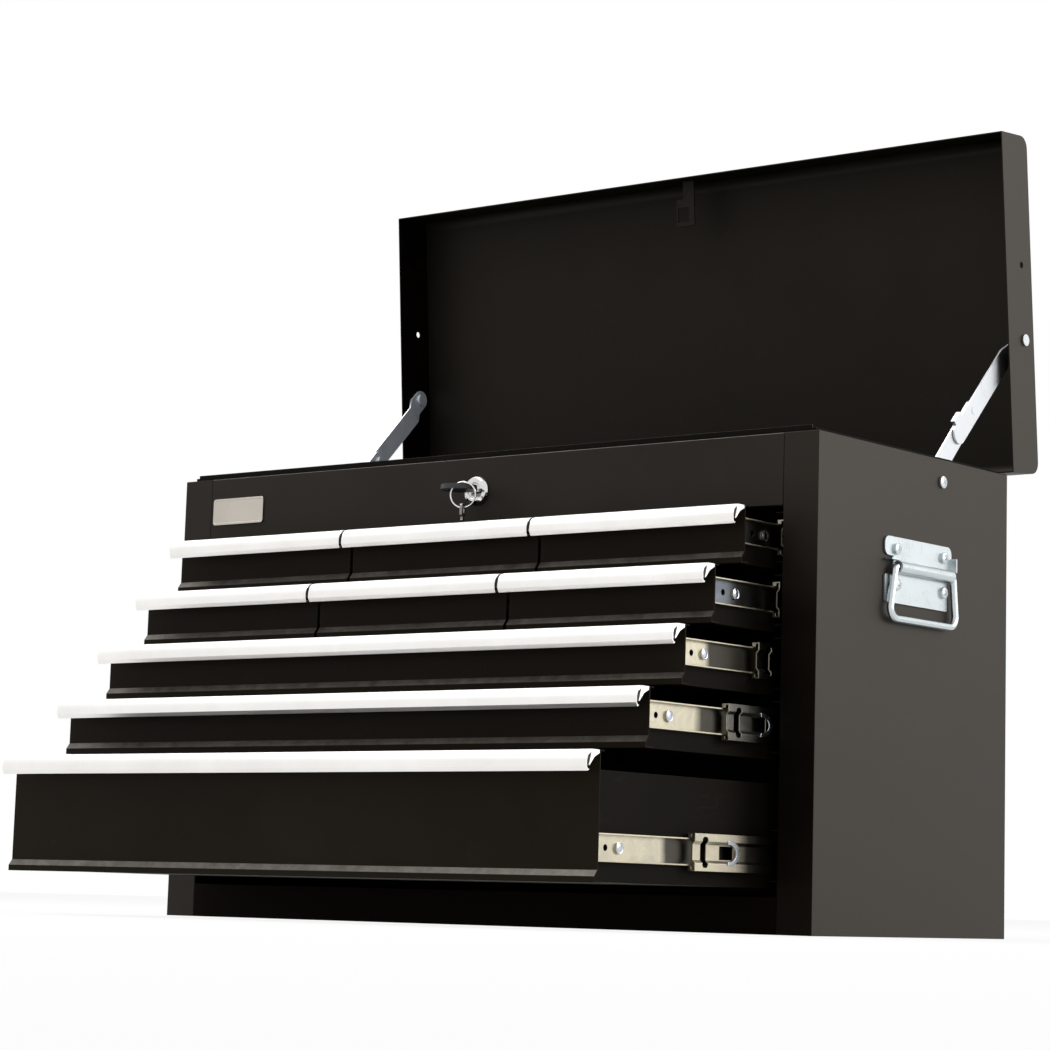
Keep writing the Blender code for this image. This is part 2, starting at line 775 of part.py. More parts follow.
def middle_rail(name, finish, drawer_face, side, place_y, height_at, frame):
    """One middle rail beside a drawer; side is the way out from the drawer."""
    mesh, cages, cuts = middle_rail_mesh()
    pieces = [mesh] + cages + cuts
    if side < 0:
        pieces = [mirrored(piece) for piece in pieces]
    pieces = [shifted(piece, (drawer_face, 0, 0)) for piece in pieces]
    return solid(
        name,
        finish,
        pieces[0],
        welded=pieces[1 : 1 + len(cages)],
        cuts=pieces[1 + len(cages) :],
        frame=frame,
    )


# Drawers


def front_section(height):
    """Section of a drawer front from the fold at its top to the flared lip at its foot."""
    return [
        (FRONT_TOP_RETURN, height),
        (0, height),
        (0, FLARE_HEIGHT),
        (-FLARE_OUT, FLARE_LIP),
        (-FLARE_OUT, 0),
        (FRONT_TOP_RETURN, 0),
    ]


def drawer_rail(face, side):
    """Rail fixed to a drawer's side, with its lips turned out."""
    section = bent_sheet(rail_section(0, DRAWER_RAIL_LIP, DRAWER_RAIL_HEIGHT), -RAIL_SHEET)
    start = DRAWER_RAIL_SETBACK
    mesh = prism(section, "Y", start, start + DRAWER_RAIL_LENGTH)
    if side < 0:
        mesh = mirrored(mesh)
    return shifted(mesh, (face - side * WELD, 0, SLIDE_RISE))


def drawer(name, finish, front_span, box_span, height, frame):
    """Folded front, welded tray and the two rails on its sides, as one piece."""
    front = prism(bent_sheet(front_section(height), SHEET), "X", *front_span)
    rail_top = SLIDE_RISE + DRAWER_RAIL_HEIGHT / 2
    side_top = max(height - SIDE_DROP, rail_top)
    pan = tray(
        (box_span[0], SHEET - WELD, SHEET - WELD),
        (box_span[1], BOX_DEPTH, side_top),
        SHEET,
    )
    welded = [pan]
    cuts = []
    for face, side in zip(box_span, (-1, 1)):
        welded.append(drawer_rail(face, side))
        web = face + side * (RAIL_SHEET - WELD)
        reach = sorted((face - side * SHEET, web + side * RAIL_RIVET_HEIGHT))
        welded.append(
            rod("X", (RAIL_RIVET_SETBACK, SLIDE_RISE), RAIL_RIVET / 2, *reach, RIVET_FACETS)
        )
        through = sorted((face - side * (SHEET + OVERRUN), web + side * OVERRUN))
        cuts.append(rod("X", (RAIL_HOLE_SETBACK, SLIDE_RISE), RAIL_HOLE / 2, *through, HOLE_FACETS))
    return solid(name, finish, front, welded=welded, cuts=cuts, frame=frame)


def pull_section():
    """Section of the pull moulding: a bowed front wall with a curled foot, and a tapering web behind it."""
    reach = -PULL_REACH
    drop = -PULL_HEIGHT
    wall = PULL_WALL
    bow = [
        (-PULL_TOP, 0),
        (reach * PULL_SHARES["shoulder"][0], drop * PULL_SHARES["shoulder"][1]),
        (reach * PULL_SHARES["brow"][0], drop * PULL_SHARES["brow"][1]),
        (reach, drop * PULL_SHARES["belly"][1]),
        (reach * PULL_SHARES["shin"][0], drop * PULL_SHARES["shin"][1]),
        (reach * PULL_SHARES["foot"][0], drop),
        (reach * PULL_SHARES["curl"][0], drop * PULL_SHARES["curl"][1]),
    ]
    inside = offset_path(bow, wall)[::-1]
    hollow_top = (reach * PULL_SHARES["hollow"][0], drop * PULL_SHARES["hollow"][1])
    web_foot = (reach * PULL_SHARES["web"][0], drop * PULL_SHARES["web"][1])
    web_back = (web_foot[0] + wall, web_foot[1])
    waist = (reach * PULL_SHARES["waist"][0], drop * PULL_SHARES["waist"][1])
    seat = -GAP
    return (
        [(seat, 0)]
        + bow
        + inside[:-2]
        + [hollow_top, web_foot, web_back, waist, (seat, -PULL_SEAT)]
    )


def pull(name, finish, front_span, height, frame):
    mesh = shifted(prism(pull_section(), "X", *front_span), (0, 0, height))
    return solid(name, finish, mesh, frame=frame)


def drawer_spans(row):
    """(name, front from and to, box from and to) of each drawer in a row, left to right."""
    if not ROW_SPLIT[row]:
        front = OPENING - FRONT_SIDE_GAP
        inside = OPENING - SLIDE_SPACE
        return [("wide", (-front, front), (-inside, inside))]
    split = SMALL_SPLIT / 2
    wall = SHEET / 2 + SLIDE_SPACE
    inner = (DIVIDER_X + split, SMALL_FRONT)
    inner_box = (DIVIDER_X + wall, OPENING - SLIDE_SPACE)
    centre = DIVIDER_X - split
    centre_box = DIVIDER_X - wall
    return [
        ("left", (-inner[1], -inner[0]), (-inner_box[1], -inner_box[0])),
        ("centre", (-centre, centre), (-centre_box, centre_box)),
        ("right", inner, inner_box),
    ]


def drawer_rows(paint, alloy, zinc):
    for row in rows():
        height = ROW_FILLS[row] * ROW_PITCH - ROW_GAP
        for place, front_span, box_span in drawer_spans(row):
            label = f"{row + 1}_{place}"
            centre = (box_span[0] + box_span[1]) / 2
            bottom = row_bottom(row)
            out = FRONT_Y - ROW_OUT[row]
            frame = axis_frame(f"slide of drawer {label}", (centre, out, bottom))
            fronts = [edge - centre for edge in front_span]
            sides = [edge - centre for edge in box_span]
            drawer(f"drawer_{label}", paint, fronts, sides, height, frame)
            pull(f"pull_{label}", alloy, fronts, height, frame)
            lag = out + ROW_LAG[row]
            middle = axis_frame(f"middle slide of drawer {label}", (centre, lag, bottom + SLIDE_RISE))
            for face, side, hand in zip(sides, (-1, 1), ("left", "right")):
                name = f"middle_rail_{label}_{hand}"
                middle_rail(name, zinc, face, side, lag, bottom + SLIDE_RISE, middle)


# Lid


def lid_frame():
    """The lid's empty on the hinge axis; the lid is drawn shut and this turns it open."""
    return axis_frame("lid hinge axis", (0, HINGE_Y, HINGE_Z), -LID_OPEN)


def from_hinge(y, z):
    return (y - HINGE_Y, z - HINGE_Z)


def hung(mesh):
    """A mesh drawn in the shut lid's world place, moved to the hinge axis."""
    return shifted(mesh, (0, -HINGE_Y, -HINGE_Z))


def lid_outline(inset):
    """Side view of the shut lid, rounded along its front and back edges."""
    low = (LID_FRONT_Y + inset, LID_Z - (OVERRUN if inset else 0))
    high = (BACK_Y - inset, LID_Z + LID_HEIGHT - inset)
    radius = LID_CORNER - inset
    return rounded_box(low, high, (0, 0, radius, radius))


def lid(finish, frame):
    """Pressed lid, open below, with the upper hinge leaf welded up its back."""
    shell = prism(lid_outline(0), "X", -HALF, HALF)
    inside = HALF - SHEET
    hollow = prism(lid_outline(SHEET), "X", -inside, inside)
    leaf_low = LID_Z + HINGE_LEAF
    leaf = hinge_leaf(BACK_Y - WELD, leaf_low, leaf_low + HINGE_LEAF_WIDTH)
    edge = (BACK_Y + HINGE_LEAF / 2, leaf_low + HINGE_LEAF)
    barrel = (HINGE_Y, HINGE_Z + HINGE_BARREL / 2 - HINGE_LEAF / 2)
    reach = HALF + OVERRUN
    pivot = (BACK_Y - STAY_LID_ALONG, LID_Z + STAY_LID_RISE)
    pivot_holes = rod("X", pivot, STAY_RIVET / 2 + GAP, -reach, reach)
    spare = (BACK_Y - LID_HOLE_ALONG, LID_Z + LID_HOLE_RISE)
    spare_holes = rod("X", spare, LID_HOLE / 2, -reach, reach)
    welded = [leaf] + knuckles(1, edge, barrel)
    cuts = [hollow, pivot_holes, spare_holes, hinge_bore()]
    return solid(
        "lid",
        finish,
        hung(shell),
        welded=[hung(piece) for piece in welded],
        cuts=[hung(piece) for piece in cuts],
        frame=frame,
    )


def latch_loop(finish, frame):
    """Bracket on the lid's front wall with a windowed plate for the lock to catch."""
    wall = LID_FRONT_Y + SHEET + GAP
    level = LID_Z + LOOP_DEPTH
    start = wall + LOOP_SETBACK
    sheet = LOOP_SHEET
    left = -LOOP_ASIDE - LOOP_WIDTH / 2
    right = left + LOOP_WIDTH
    neck_left = right - LOOP_NECK
    plate = box((left, start, level), (right, start + LOOP_LENGTH, level + sheet))
    neck = box((neck_left, wall, level), (right, start + WELD, level + sheet))
    foot = box((neck_left, wall, level), (right, wall + sheet, level + LOOP_FOOT))
    window_left = left + LOOP_SIDE_BAR
    window_back = start + LOOP_LENGTH - LOOP_BAR
    window = box(
        (window_left, window_back - LOOP_WINDOW_LENGTH, level - OVERRUN),
        (window_left + LOOP_WINDOW_WIDTH, window_back, level + sheet + OVERRUN),
    )
    return solid(
        "latch_loop",
        finish,
        hung(plate),
        welded=[hung(neck), hung(foot)],
        cuts=[hung(window)],
        frame=frame,
    )


# Lid stays


def turned_about_hinge(point, angle):
    y, z = from_hinge(*point)
    return (
        HINGE_Y + y * cos(angle) - z * sin(angle),
        HINGE_Z + y * sin(angle) + z * cos(angle),
    )


def stay_points():
    """Cabinet pivot, knuckle and lid pivot as the lid stands open, and the upper strap's length."""
    low = stay_cabinet_pivot()
    shut = (BACK_Y - STAY_LID_ALONG, LID_Z + STAY_LID_RISE)
    high = turned_about_hinge(shut, -LID_OPEN)
    reach = hypot(high[0] - low[0], high[1] - low[1])
    along = ((high[0] - low[0]) / reach, (high[1] - low[1]) / reach)
    run = sqrt(STAY_LOWER**2 - STAY_KNUCKLE_RISE**2)
    knuckle = (
        low[0] + along[0] * run - along[1] * STAY_KNUCKLE_RISE,
        low[1] + along[1] * run + along[0] * STAY_KNUCKLE_RISE,
    )
    return low, knuckle, high


def elevation(start, end):
    return atan2(end[1] - start[1], end[0] - start[0])


STRAP_OUTER = TILL_HALF - SHEET - STAY_WALL_SPACE
STRAP_MIDDLE = STRAP_OUTER - STAY_STRAP
STRAP_INNER = STRAP_MIDDLE - GAP - STAY_STRAP


def lower_strap(name, finish, side):
    """Inner strap from its rivet through the cabinet side up to the knuckle."""
    low, knuckle, _ = stay_points()
    place = (0, low[0], low[1])
    frame = axis_frame(f"pivot of {name}", place, elevation(low, knuckle))
    half = STAY_WIDTH / 2
    inside = STRAP_INNER + STAY_STRAP
    strap = prism(slot_outline(0, STAY_LOWER, half), "X", STRAP_INNER, inside)
    rivet = STAY_RIVET / 2
    head = STAY_RIVET_HEAD / 2
    knuckle_head = STAY_KNUCKLE_HEAD / 2
    out = HALF + GAP
    extras = [
        rod("X", (0, 0), rivet, STRAP_INNER + WELD, out + WELD),
        rod("X", (0, 0), head, out, out + STAY_HEAD_HEIGHT),
        rod("X", (0, 0), head, inside - WELD, TILL_HALF - SHEET - GAP),
        rod("X", (STAY_LOWER, 0), knuckle_head, STRAP_INNER - STAY_HEAD_HEIGHT, STRAP_INNER + WELD),
    ]
    pieces = [strap] + extras
    if side < 0:
        pieces = [mirrored(piece) for piece in pieces]
    return solid(name, finish, pieces[0], welded=pieces[1:], frame=frame)


def upper_strap(name, finish, side, lid_empty):
    """Outer strap from its rivet in the lid's side past the knuckle, with a stop lug on its tail."""
    low, knuckle, high = stay_points()
    length = hypot(high[0] - knuckle[0], high[1] - knuckle[1])
    shut = from_hinge(BACK_Y - STAY_LID_ALONG, LID_Z + STAY_LID_RISE)
    turn = elevation(high, knuckle) + LID_OPEN
    frame = axis_frame(f"pivot of {name}", (0, shut[0], shut[1]), turn, lid_empty)
    half = STAY_WIDTH / 2
    at_lid = HALF - SHEET - GAP
    joggle_end = STAY_JOGGLE_START + STAY_JOGGLE_LENGTH
    path = [
        (at_lid, -half - OVERRUN),
        (at_lid, STAY_JOGGLE_START),
        (STRAP_OUTER, joggle_end),
        (STRAP_OUTER, length + STAY_TAIL + half + OVERRUN),
    ]
    bent = prism(bent_sheet(path, STAY_STRAP), "Z", -half - OVERRUN, half + OVERRUN)
    outline = prism(slot_outline(0, length + STAY_TAIL, half), "X", STRAP_INNER, HALF)
    rivet = STAY_RIVET / 2
    head = STAY_RIVET_HEAD / 2
    knuckle_head = STAY_KNUCKLE_HEAD / 2
    out = HALF + GAP
    lug_start = length + STAY_LUG_ALONG - STAY_LUG_LENGTH / 2
    bend = asin(STAY_KNUCKLE_RISE / STAY_LOWER) + asin(STAY_KNUCKLE_RISE / length)
    lug_edge = half - STAY_LUG_ALONG * sin(bend) + GAP
    lug = box(
        (STRAP_INNER, lug_start, -lug_edge - STAY_LUG_THICK),
        (STRAP_OUTER, lug_start + STAY_LUG_LENGTH, -lug_edge),
    )
    lug_root = box(
        (STRAP_MIDDLE, lug_start, -lug_edge - WELD),
        (STRAP_OUTER, lug_start + STAY_LUG_LENGTH, OVERRUN - half),
    )
    extras = [
        rod("X", (0, 0), rivet, at_lid - STAY_STRAP + WELD, out + WELD),
        rod("X", (0, 0), head, out, out + STAY_HEAD_HEIGHT),
        rod("X", (0, 0), head, at_lid - STAY_STRAP - STAY_HEAD_HEIGHT, at_lid - STAY_STRAP + WELD),
        rod("X", (length, 0), knuckle_head, STRAP_OUTER - WELD, STRAP_OUTER + STAY_WALL_SPACE - GAP / 2),
        lug,
        lug_root,
    ]
    pieces = [bent, outline] + extras
    if side < 0:
        pieces = [mirrored(piece) for piece in pieces]
    bent, outline, *extras = pieces
    obj = solid(name, finish, bent, kept=[outline], frame=frame)
    boolean(obj, "UNION", extras)
    return obj


# Lock, key and ring


def lock_body(finish):
    """Turned lock shell: bezel in front of the fascia, threaded barrel and the nut behind it."""
    bore = PLUG / 2 + GAP
    barrel = LOCK_BARREL / 2
    front = FRONT_Y - GAP - LOCK_BEZEL_HEIGHT
    seat = FRONT_Y - GAP
    nut = LOCK_NUT / 2
    nut_front = FRONT_Y + SHEET + GAP
    nut_back = TILL_FRONT_Y - GAP
    end = FRONT_Y + LOCK_LENGTH
    bezel = LOCK_BEZEL / 2
    profile = [
        (bore, front),
        (bezel * BEZEL_RIM_SHARE, front),
        (bezel * BEZEL_SHOULDER_SHARE, front + LOCK_BEZEL_HEIGHT * BEZEL_ROUND_SHARE),
        (bezel, seat - LOCK_BEZEL_HEIGHT * BEZEL_ROUND_SHARE),
        (bezel, seat),
        (barrel, seat),
        (barrel, nut_front),
        (nut, nut_front),
        (nut, nut_back),
        (barrel, nut_back),
        (barrel, end),
        (bore, end),
    ]
    return solid("lock_body", finish, shifted(turned(profile), (0, 0, LOCK_Z)))


def key_plan():
    """Places along the key from the lock's face to the far edge of its head."""
    face = FRONT_Y - GAP - LOCK_BEZEL_HEIGHT
    head_start = face - KEY_BLADE_SHOWS
    head_centre = head_start - KEY_HEAD / 2
    return face, head_start, head_centre


def key_slot(head_centre):
    """Curved slot round the far end of the key's head, seen from above."""
    outer = KEY_HEAD / 2 - KEY_BRIDGE
    start = -pi / 2 - KEY_SLOT_SPAN
    end = -pi / 2 + KEY_SLOT_SPAN
    centre = (0, head_centre)
    far = arc(centre, outer, start, end, 2 * ARC_STEPS)
    return far + arc(centre, outer - KEY_SLOT, end, start, 2 * ARC_STEPS)


def lock_key(finish, frame):
    """Key in the lock with the plug and cam that turn with it; drawn about the lock's axis."""
    face, head_start, head_centre = key_plan()
    end = FRONT_Y + LOCK_LENGTH
    plug = rod("Y", (0, 0), PLUG / 2, face + SHEET / 2, end + PLUG_TAIL, FINE_FACETS)
    half_blade = KEY_BLADE_WIDTH / 2
    half_thick = KEY_BLADE_THICK / 2
    blade = box((-half_blade, head_start - WELD, -half_thick), (half_blade, face + OVERRUN, half_thick))
    head_half = KEY_HEAD_THICK / 2
    head = rod("Z", (0, head_centre), KEY_HEAD / 2, -head_half, head_half, FINE_FACETS)
    cam_half = CAM_WIDTH / 2
    cam = box(
        (-cam_half, end + GAP, -cam_half),
        (CAM_LENGTH, end + GAP + CAM_THICK, cam_half),
    )
    slot = prism(key_slot(head_centre), "Z", -head_half - OVERRUN, head_half + OVERRUN)
    return solid("lock_key", finish, plug, welded=[blade, head, cam], cuts=[slot], frame=frame)


def key_ring(finish, frame):
    """Ring through the key's head, hanging over the bridge between the slot and the edge."""
    mesh = bmesh.new()
    radius = RING_DIAMETER / 2
    wire = RING_WIRE / 2
    circle = bmesh.ops.create_circle(mesh, segments=WIRE_FACETS, radius=wire)["verts"]
    bmesh.ops.rotate(mesh, verts=circle, cent=(0, 0, 0), matrix=Matrix.Rotation(pi / 2, 3, "Y"))
    bmesh.ops.translate(mesh, verts=circle, vec=(0, 0, radius))
    bmesh.ops.spin(
        mesh,
        geom=mesh.verts[:] + mesh.edges[:],
        axis=(0, 1, 0),
        cent=(0, 0, 0),
        angle=2 * pi,
        steps=RING_STEPS,
        use_merge=True,
    )
    bmesh.ops.recalc_face_normals(mesh, faces=mesh.faces)
    bmesh.ops.rotate(mesh, verts=mesh.verts, cent=(0, 0, 0), matrix=Matrix.Rotation(RING_TURN, 3, "Z"))
    rise = KEY_HEAD_THICK / 2 + GAP + wire
    return solid("key_ring", finish, shifted(mesh, (0, 0, rise - radius)), frame=frame)


def ring_place():
    """World place of the middle of the bridge that the ring hangs on."""
    _, _, head_centre = key_plan()
    reach = KEY_HEAD / 2 - KEY_BRIDGE / 2
    return (reach * cos(RING_HANG), head_centre + reach * sin(RING_HANG), LOCK_Z)


# Handles


def handle_axis_x():
    return HALF + GAP + BAIL_ROD / 2 + BARREL_CLEARANCE + HANDLE_SHEET


def handle_bracket(name, finish, side):
    """Stamped plate with the tube for the bail rolled across it, its stop ear and four screw heads."""
    back = HALF + GAP
    face = back + HANDLE_SHEET
    axis = handle_axis_x()
    top = HANDLE_Z + HANDLE_TOP_RISE
    top_low = top - HANDLE_TOP_PLATE
    low_top = HANDLE_Z - HANDLE_LOW_TOP_DROP
    bottom = HANDLE_Z - HANDLE_BOTTOM_DROP
    corner = HANDLE_CORNER
    small = HANDLE_SHEET
    upper = rounded_box((HANDLE_FRONT, top_low), (HANDLE_BACK, top), (corner, small, corner, corner))
    lower = rounded_box((HANDLE_FRONT, bottom), (BARREL_BACK, low_top), (small,) * 4)
    neck = [
        (NECK_FRONT, top_low + WELD),
        (BARREL_FRONT - HANDLE_SHEET, low_top - WELD),
        (BARREL_BACK, low_top - WELD),
        (HANDLE_BACK, top_low + WELD),
    ]
    tube_radius = BAIL_ROD / 2 + BARREL_CLEARANCE + HANDLE_SHEET
    tube = rod("Y", (axis, HANDLE_Z), tube_radius, BARREL_FRONT, BARREL_BACK)
    ear_low = HANDLE_Z + EAR_RISE
    ear = box(
        (back, HANDLE_BACK - HANDLE_SHEET, ear_low),
        (face + EAR_REACH, HANDLE_BACK, ear_low + EAR_HEIGHT),
    )
    front_ear = box(
        (back, BARREL_FRONT - FRONT_EAR_OUT, ear_low + HANDLE_SHEET),
        (face + EAR_REACH, BARREL_FRONT + FRONT_EAR_ROOT, ear_low + 2 * HANDLE_SHEET),
    )
    heads = []
    for y in (HANDLE_FRONT + SCREW_INSET, HANDLE_BACK - SCREW_INSET + OVERRUN):
        for z in (top - SCREW_TOP_DROP, low_top - SCREW_LOW_DROP):
            heads.append(
                rod("X", (y, z), SCREW_HEAD / 2, face - WELD, face + SCREW_HEAD_HEIGHT, FACETS)
            )
    pieces = [prism(outline, "X", back, face) for outline in (upper, lower, neck)]
    pieces += [tube, ear, front_ear] + heads
    bore = rod(
        "Y",
        (axis, HANDLE_Z),
        BAIL_ROD / 2 + BARREL_CLEARANCE,
        BARREL_FRONT - OVERRUN,
        BARREL_BACK + OVERRUN,
    )
    pieces.append(bore)
    if side < 0:
        pieces = [mirrored(piece) for piece in pieces]
    return solid(name, finish, pieces[0], welded=pieces[1:-1], cuts=pieces[-1:])


def bail(name, finish, side):
    """Bent rod handle whose ends turn in the bracket's tube; drawn about its own axis, hanging."""
    frame = axis_frame(f"axis of {name}", (side * handle_axis_x(), 0, HANDLE_Z))
    front = HANDLE_FRONT + BAIL_ROD / 2
    back = HANDLE_BACK + BAIL_SIDE - BAIL_ROD / 2
    corner = BAIL_CORNER
    bend = BAIL_BEND
    front_top = front + BAIL_FRONT_LEAN
    back_top = back - BAIL_BACK_LEAN
    low = -BAIL_DROP + BAIL_ROD / 2
    path = [(BARREL_FRONT + BAIL_GRIP, 0)]
    path += arc((front_top + bend, -bend), bend, pi / 2, pi)
    path += arc((front + corner, low + corner), corner, pi, 3 * pi / 2)
    path += arc((back - corner, low + corner), corner, 3 * pi / 2, 2 * pi)
    path += arc((back_top - bend, -bend), bend, 0, pi / 2)
    path.append((BARREL_BACK - BAIL_GRIP, 0))
    curve = bpy.data.curves.new(name, "CURVE")
    curve.dimensions = "3D"
    curve.bevel_depth = BAIL_ROD / 2
    curve.bevel_resolution = 2
    curve.use_fill_caps = True
    spline = curve.splines.new("POLY")
    spline.points.add(len(path) - 1)
    for point, (y, z) in zip(spline.points, path):
        point.co = (0, y, z, 1)
    curve.materials.append(finish)
    obj = bpy.data.objects.new(name, curve)
    bpy.context.collection.objects.link(obj)
    return placed(obj, frame)


def build():
    clear_scene()
    paint = material("black powder coat", (0.035, 0.031, 0.027), 0.5, 0.0)
    dark = material("black painted runner steel", (0.02, 0.02, 0.02), 0.55, 0.0)
    zinc = material("zinc plated steel", (0.72, 0.69, 0.62), 0.3, 0.9)
    alloy = material("anodised aluminium", (0.85, 0.84, 0.81), 0.35, 0.9)
    chrome = material("bright chrome", (0.8, 0.8, 0.8), 0.12, 1.0)
    resin = material("black key resin", (0.02, 0.02, 0.02), 0.4, 0.0)
    for side, hand in ((-1, "left"), (1, "right")):
        side_panel(f"side_panel_{hand}", paint, side)
        liner(f"rail_bank_{hand}", dark, side)
        divider(f"divider_{hand}", dark, side)
        lower_strap(f"stay_lower_{hand}", zinc, side)
        handle_bracket(f"handle_bracket_{hand}", zinc, side)
        bail(f"handle_bail_{hand}", zinc, side)
    bottom_panel(paint)
    back_panel(paint)
    fascia(paint)
    till_tray(paint)
    hinge_pin(zinc)
    lock_body(chrome)
    turning = axis_frame("lock axis", (0, 0, LOCK_Z))
    lock_key(resin, turning)
    key_ring(chrome, axis_frame("ring swing axis", ring_place()))
    drawer_rows(paint, alloy, zinc)
    lid_empty = lid_frame()
    lid(paint, lid_empty)
    latch_loop(paint, lid_empty)
    for side, hand in ((-1, "left"), (1, "right")):
        upper_strap(f"stay_upper_{hand}", zinc, side, lid_empty)


build()
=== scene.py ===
"""Looks of the tool chest: finishes, rounded folds, fasteners, spare key, name plate, studio, camera."""

import json
from math import cos, pi, radians, sin

import bmesh
import bpy
from mathutils import Matrix, Vector

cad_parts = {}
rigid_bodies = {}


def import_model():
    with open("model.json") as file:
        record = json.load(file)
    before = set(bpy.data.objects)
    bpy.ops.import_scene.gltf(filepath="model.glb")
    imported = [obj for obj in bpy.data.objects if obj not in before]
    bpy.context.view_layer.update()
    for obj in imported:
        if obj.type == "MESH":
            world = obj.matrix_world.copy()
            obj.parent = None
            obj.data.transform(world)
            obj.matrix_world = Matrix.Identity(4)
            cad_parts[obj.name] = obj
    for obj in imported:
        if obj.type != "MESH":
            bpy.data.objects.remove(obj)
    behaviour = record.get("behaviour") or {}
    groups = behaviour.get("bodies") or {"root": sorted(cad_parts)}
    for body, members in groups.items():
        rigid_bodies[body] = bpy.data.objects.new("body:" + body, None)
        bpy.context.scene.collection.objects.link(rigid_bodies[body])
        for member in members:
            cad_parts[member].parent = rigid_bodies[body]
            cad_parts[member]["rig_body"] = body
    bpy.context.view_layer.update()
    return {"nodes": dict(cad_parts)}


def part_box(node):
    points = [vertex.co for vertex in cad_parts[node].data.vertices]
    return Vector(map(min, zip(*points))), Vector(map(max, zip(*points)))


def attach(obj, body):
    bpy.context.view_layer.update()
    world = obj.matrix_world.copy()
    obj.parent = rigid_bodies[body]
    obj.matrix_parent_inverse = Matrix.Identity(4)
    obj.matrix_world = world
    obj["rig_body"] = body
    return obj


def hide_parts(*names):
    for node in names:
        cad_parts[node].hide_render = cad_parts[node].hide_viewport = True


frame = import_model()
NODES = frame["nodes"]
MM = 0.001

# Camera, worked out from the chest's straight edges in the photograph
CAMERA_PLACE = (1466.08 * MM, -1894.20 * MM, 16.61 * MM)
CAMERA_YAW = radians(37.5995)
CAMERA_PITCH = radians(8.8664)
CAMERA_ROLL = radians(1.5420)
IMAGE_SIZE = 1050
FOCAL_PIXELS = 3141.78
CENTRE_PIXEL = (592.60, 414.71)
SENSOR = 36
VIEW_END = 50

# Sheet metal: rounding of its folds and cut edges
FOLD_ROUND = 0.42 * MM
EDGE_ROUND = 0.28 * MM
FOLD_ANGLE = radians(28)
FLAT_ANGLE = radians(0.6)
SMOOTH_ANGLE = radians(38)
WELD_DISTANCE = 0.004 * MM
ROUND_STEPS = 2
FLAT_WEIGHT = 100
FASCIA_ROUND = 0.9 * MM
ROD_ANGLE = radians(60)
FACING = 0.5

# Name plate on the fascia
PLATE_LEFT = -268 * MM
PLATE_RIGHT = -215 * MM
PLATE_LOW = 303.5 * MM
PLATE_HIGH = 324 * MM
PLATE_THICK = 1.2 * MM
PLATE_CORNER = 2.2 * MM
PLATE_RIM = 1.4 * MM
PLATE_STEP = PLATE_RIM / 4
PLATE_SUNK = PLATE_THICK / 3
PLATE_STEPS = 5

# Drawer: flared foot, and the plated strip and rivet on its side, from its lowest front corner
RAIL_STANDS_OFF = 2.5 * MM
SIDE_MARGIN = 0.25 * MM
STRIP_LOW = 13.0 * MM
STRIP_HIGH = 31.4 * MM
STRIP_START = 4.6 * MM
STRIP_WEB = 7.5 * MM
RIVET_BEHIND = 31 * MM
RIVET_RISE = 22.2 * MM
RIVET_PROUD = 2.15 * MM
FRONT_ZONE = 2.0 * MM
FLARE_DEPTH = 3 * MM
FLARE_SLOPE = 0.3

# Heads of screws and rivets
DOME_RINGS = 9
DOME_STEPS = 40
DOME_SINK = 0.2 * MM
SCREW_RADIUS = 4.1 * MM
SCREW_RISE = 0.9 * MM
SCREW_RECESS = 0.8 * MM
SCREW_ARM = 0.62 * MM
SCREW_CROSS = 0.62
SCREW_FACE = 303.85 * MM
SCREW_FRONT = -30 * MM
SCREW_BACK = 33 * MM
SCREW_HIGH = 268.5 * MM
SCREW_LOW = 243.4 * MM
SCREW_PLACES = (
    (SCREW_FRONT, SCREW_HIGH, 0.3),
    (SCREW_BACK, SCREW_HIGH, 0.9),
    (SCREW_FRONT, SCREW_LOW, 0.1),
    (SCREW_BACK, SCREW_LOW, 0.6),
)
RIVET_RADIUS = 3.75 * MM
RIVET_DOME = 0.35 * MM
RIVET_GROOVE = 0.25 * MM
GROOVE_FROM = 0.6
GROOVE_TO = 0.8
BOLT_Y = 33.5 * MM
BOLT_Z = 323.5 * MM
BOLT_RADIUS = 4.4 * MM
BOLT_TURN = 0.3

# Spring clip round the window of a middle rail
CLIP_BEHIND = 38 * MM
CLIP_INNER = (8.2 * MM, 5.4 * MM)
CLIP_OUTER = (12.4 * MM, 8.2 * MM)
CLIP_HALF_TURN = radians(98)
CLIP_STEPS = 18
CLIP_FACE = 6.0 * MM
CLIP_THICK = 0.9 * MM

# Spare key hanging on the ring
SPARE_X = 10.436 * MM
SPARE_Y = -155.68 * MM
SPARE_Z = 297.3 * MM
SPARE_TURN = radians(24)
SPARE_HEAD = 4.9 * MM
SPARE_HOLE = 2.4 * MM
SPARE_THICK = 1.9 * MM
SPARE_BLADE = 2.2 * MM
SPARE_END = 288.3 * MM
SPARE_STEPS = 24
SPARE_SQUARE = 4
SPARE_FOOT = 4
SPARE_NOTCHES = ((0.12, 1.0), (0.4, 0.8), (0.6, 1.0), (0.8, 0.75), (1.0, 0.5))

# Where one finish ends and another begins
TILL_LIP = 340 * MM
KEY_HEAD_END = -134.6 * MM
HINGE_AXIS = (133.2 * MM, 337.2 * MM)
HINGE_REACH = 4.2 * MM

# Studio
WORLD_FILL = 0.45
FLOOR_HALF = 12
FLOOR_DROP = 0.2 * MM
FLOOR_GLOW = 0.9
FLOOR_PAINT = (0.9, 0.9, 0.9, 1)
FLOOR_ROUGHNESS = 0.9
WHITE = (1, 1, 1, 1)
LIGHT_TARGET = (0, 0, 0.3)

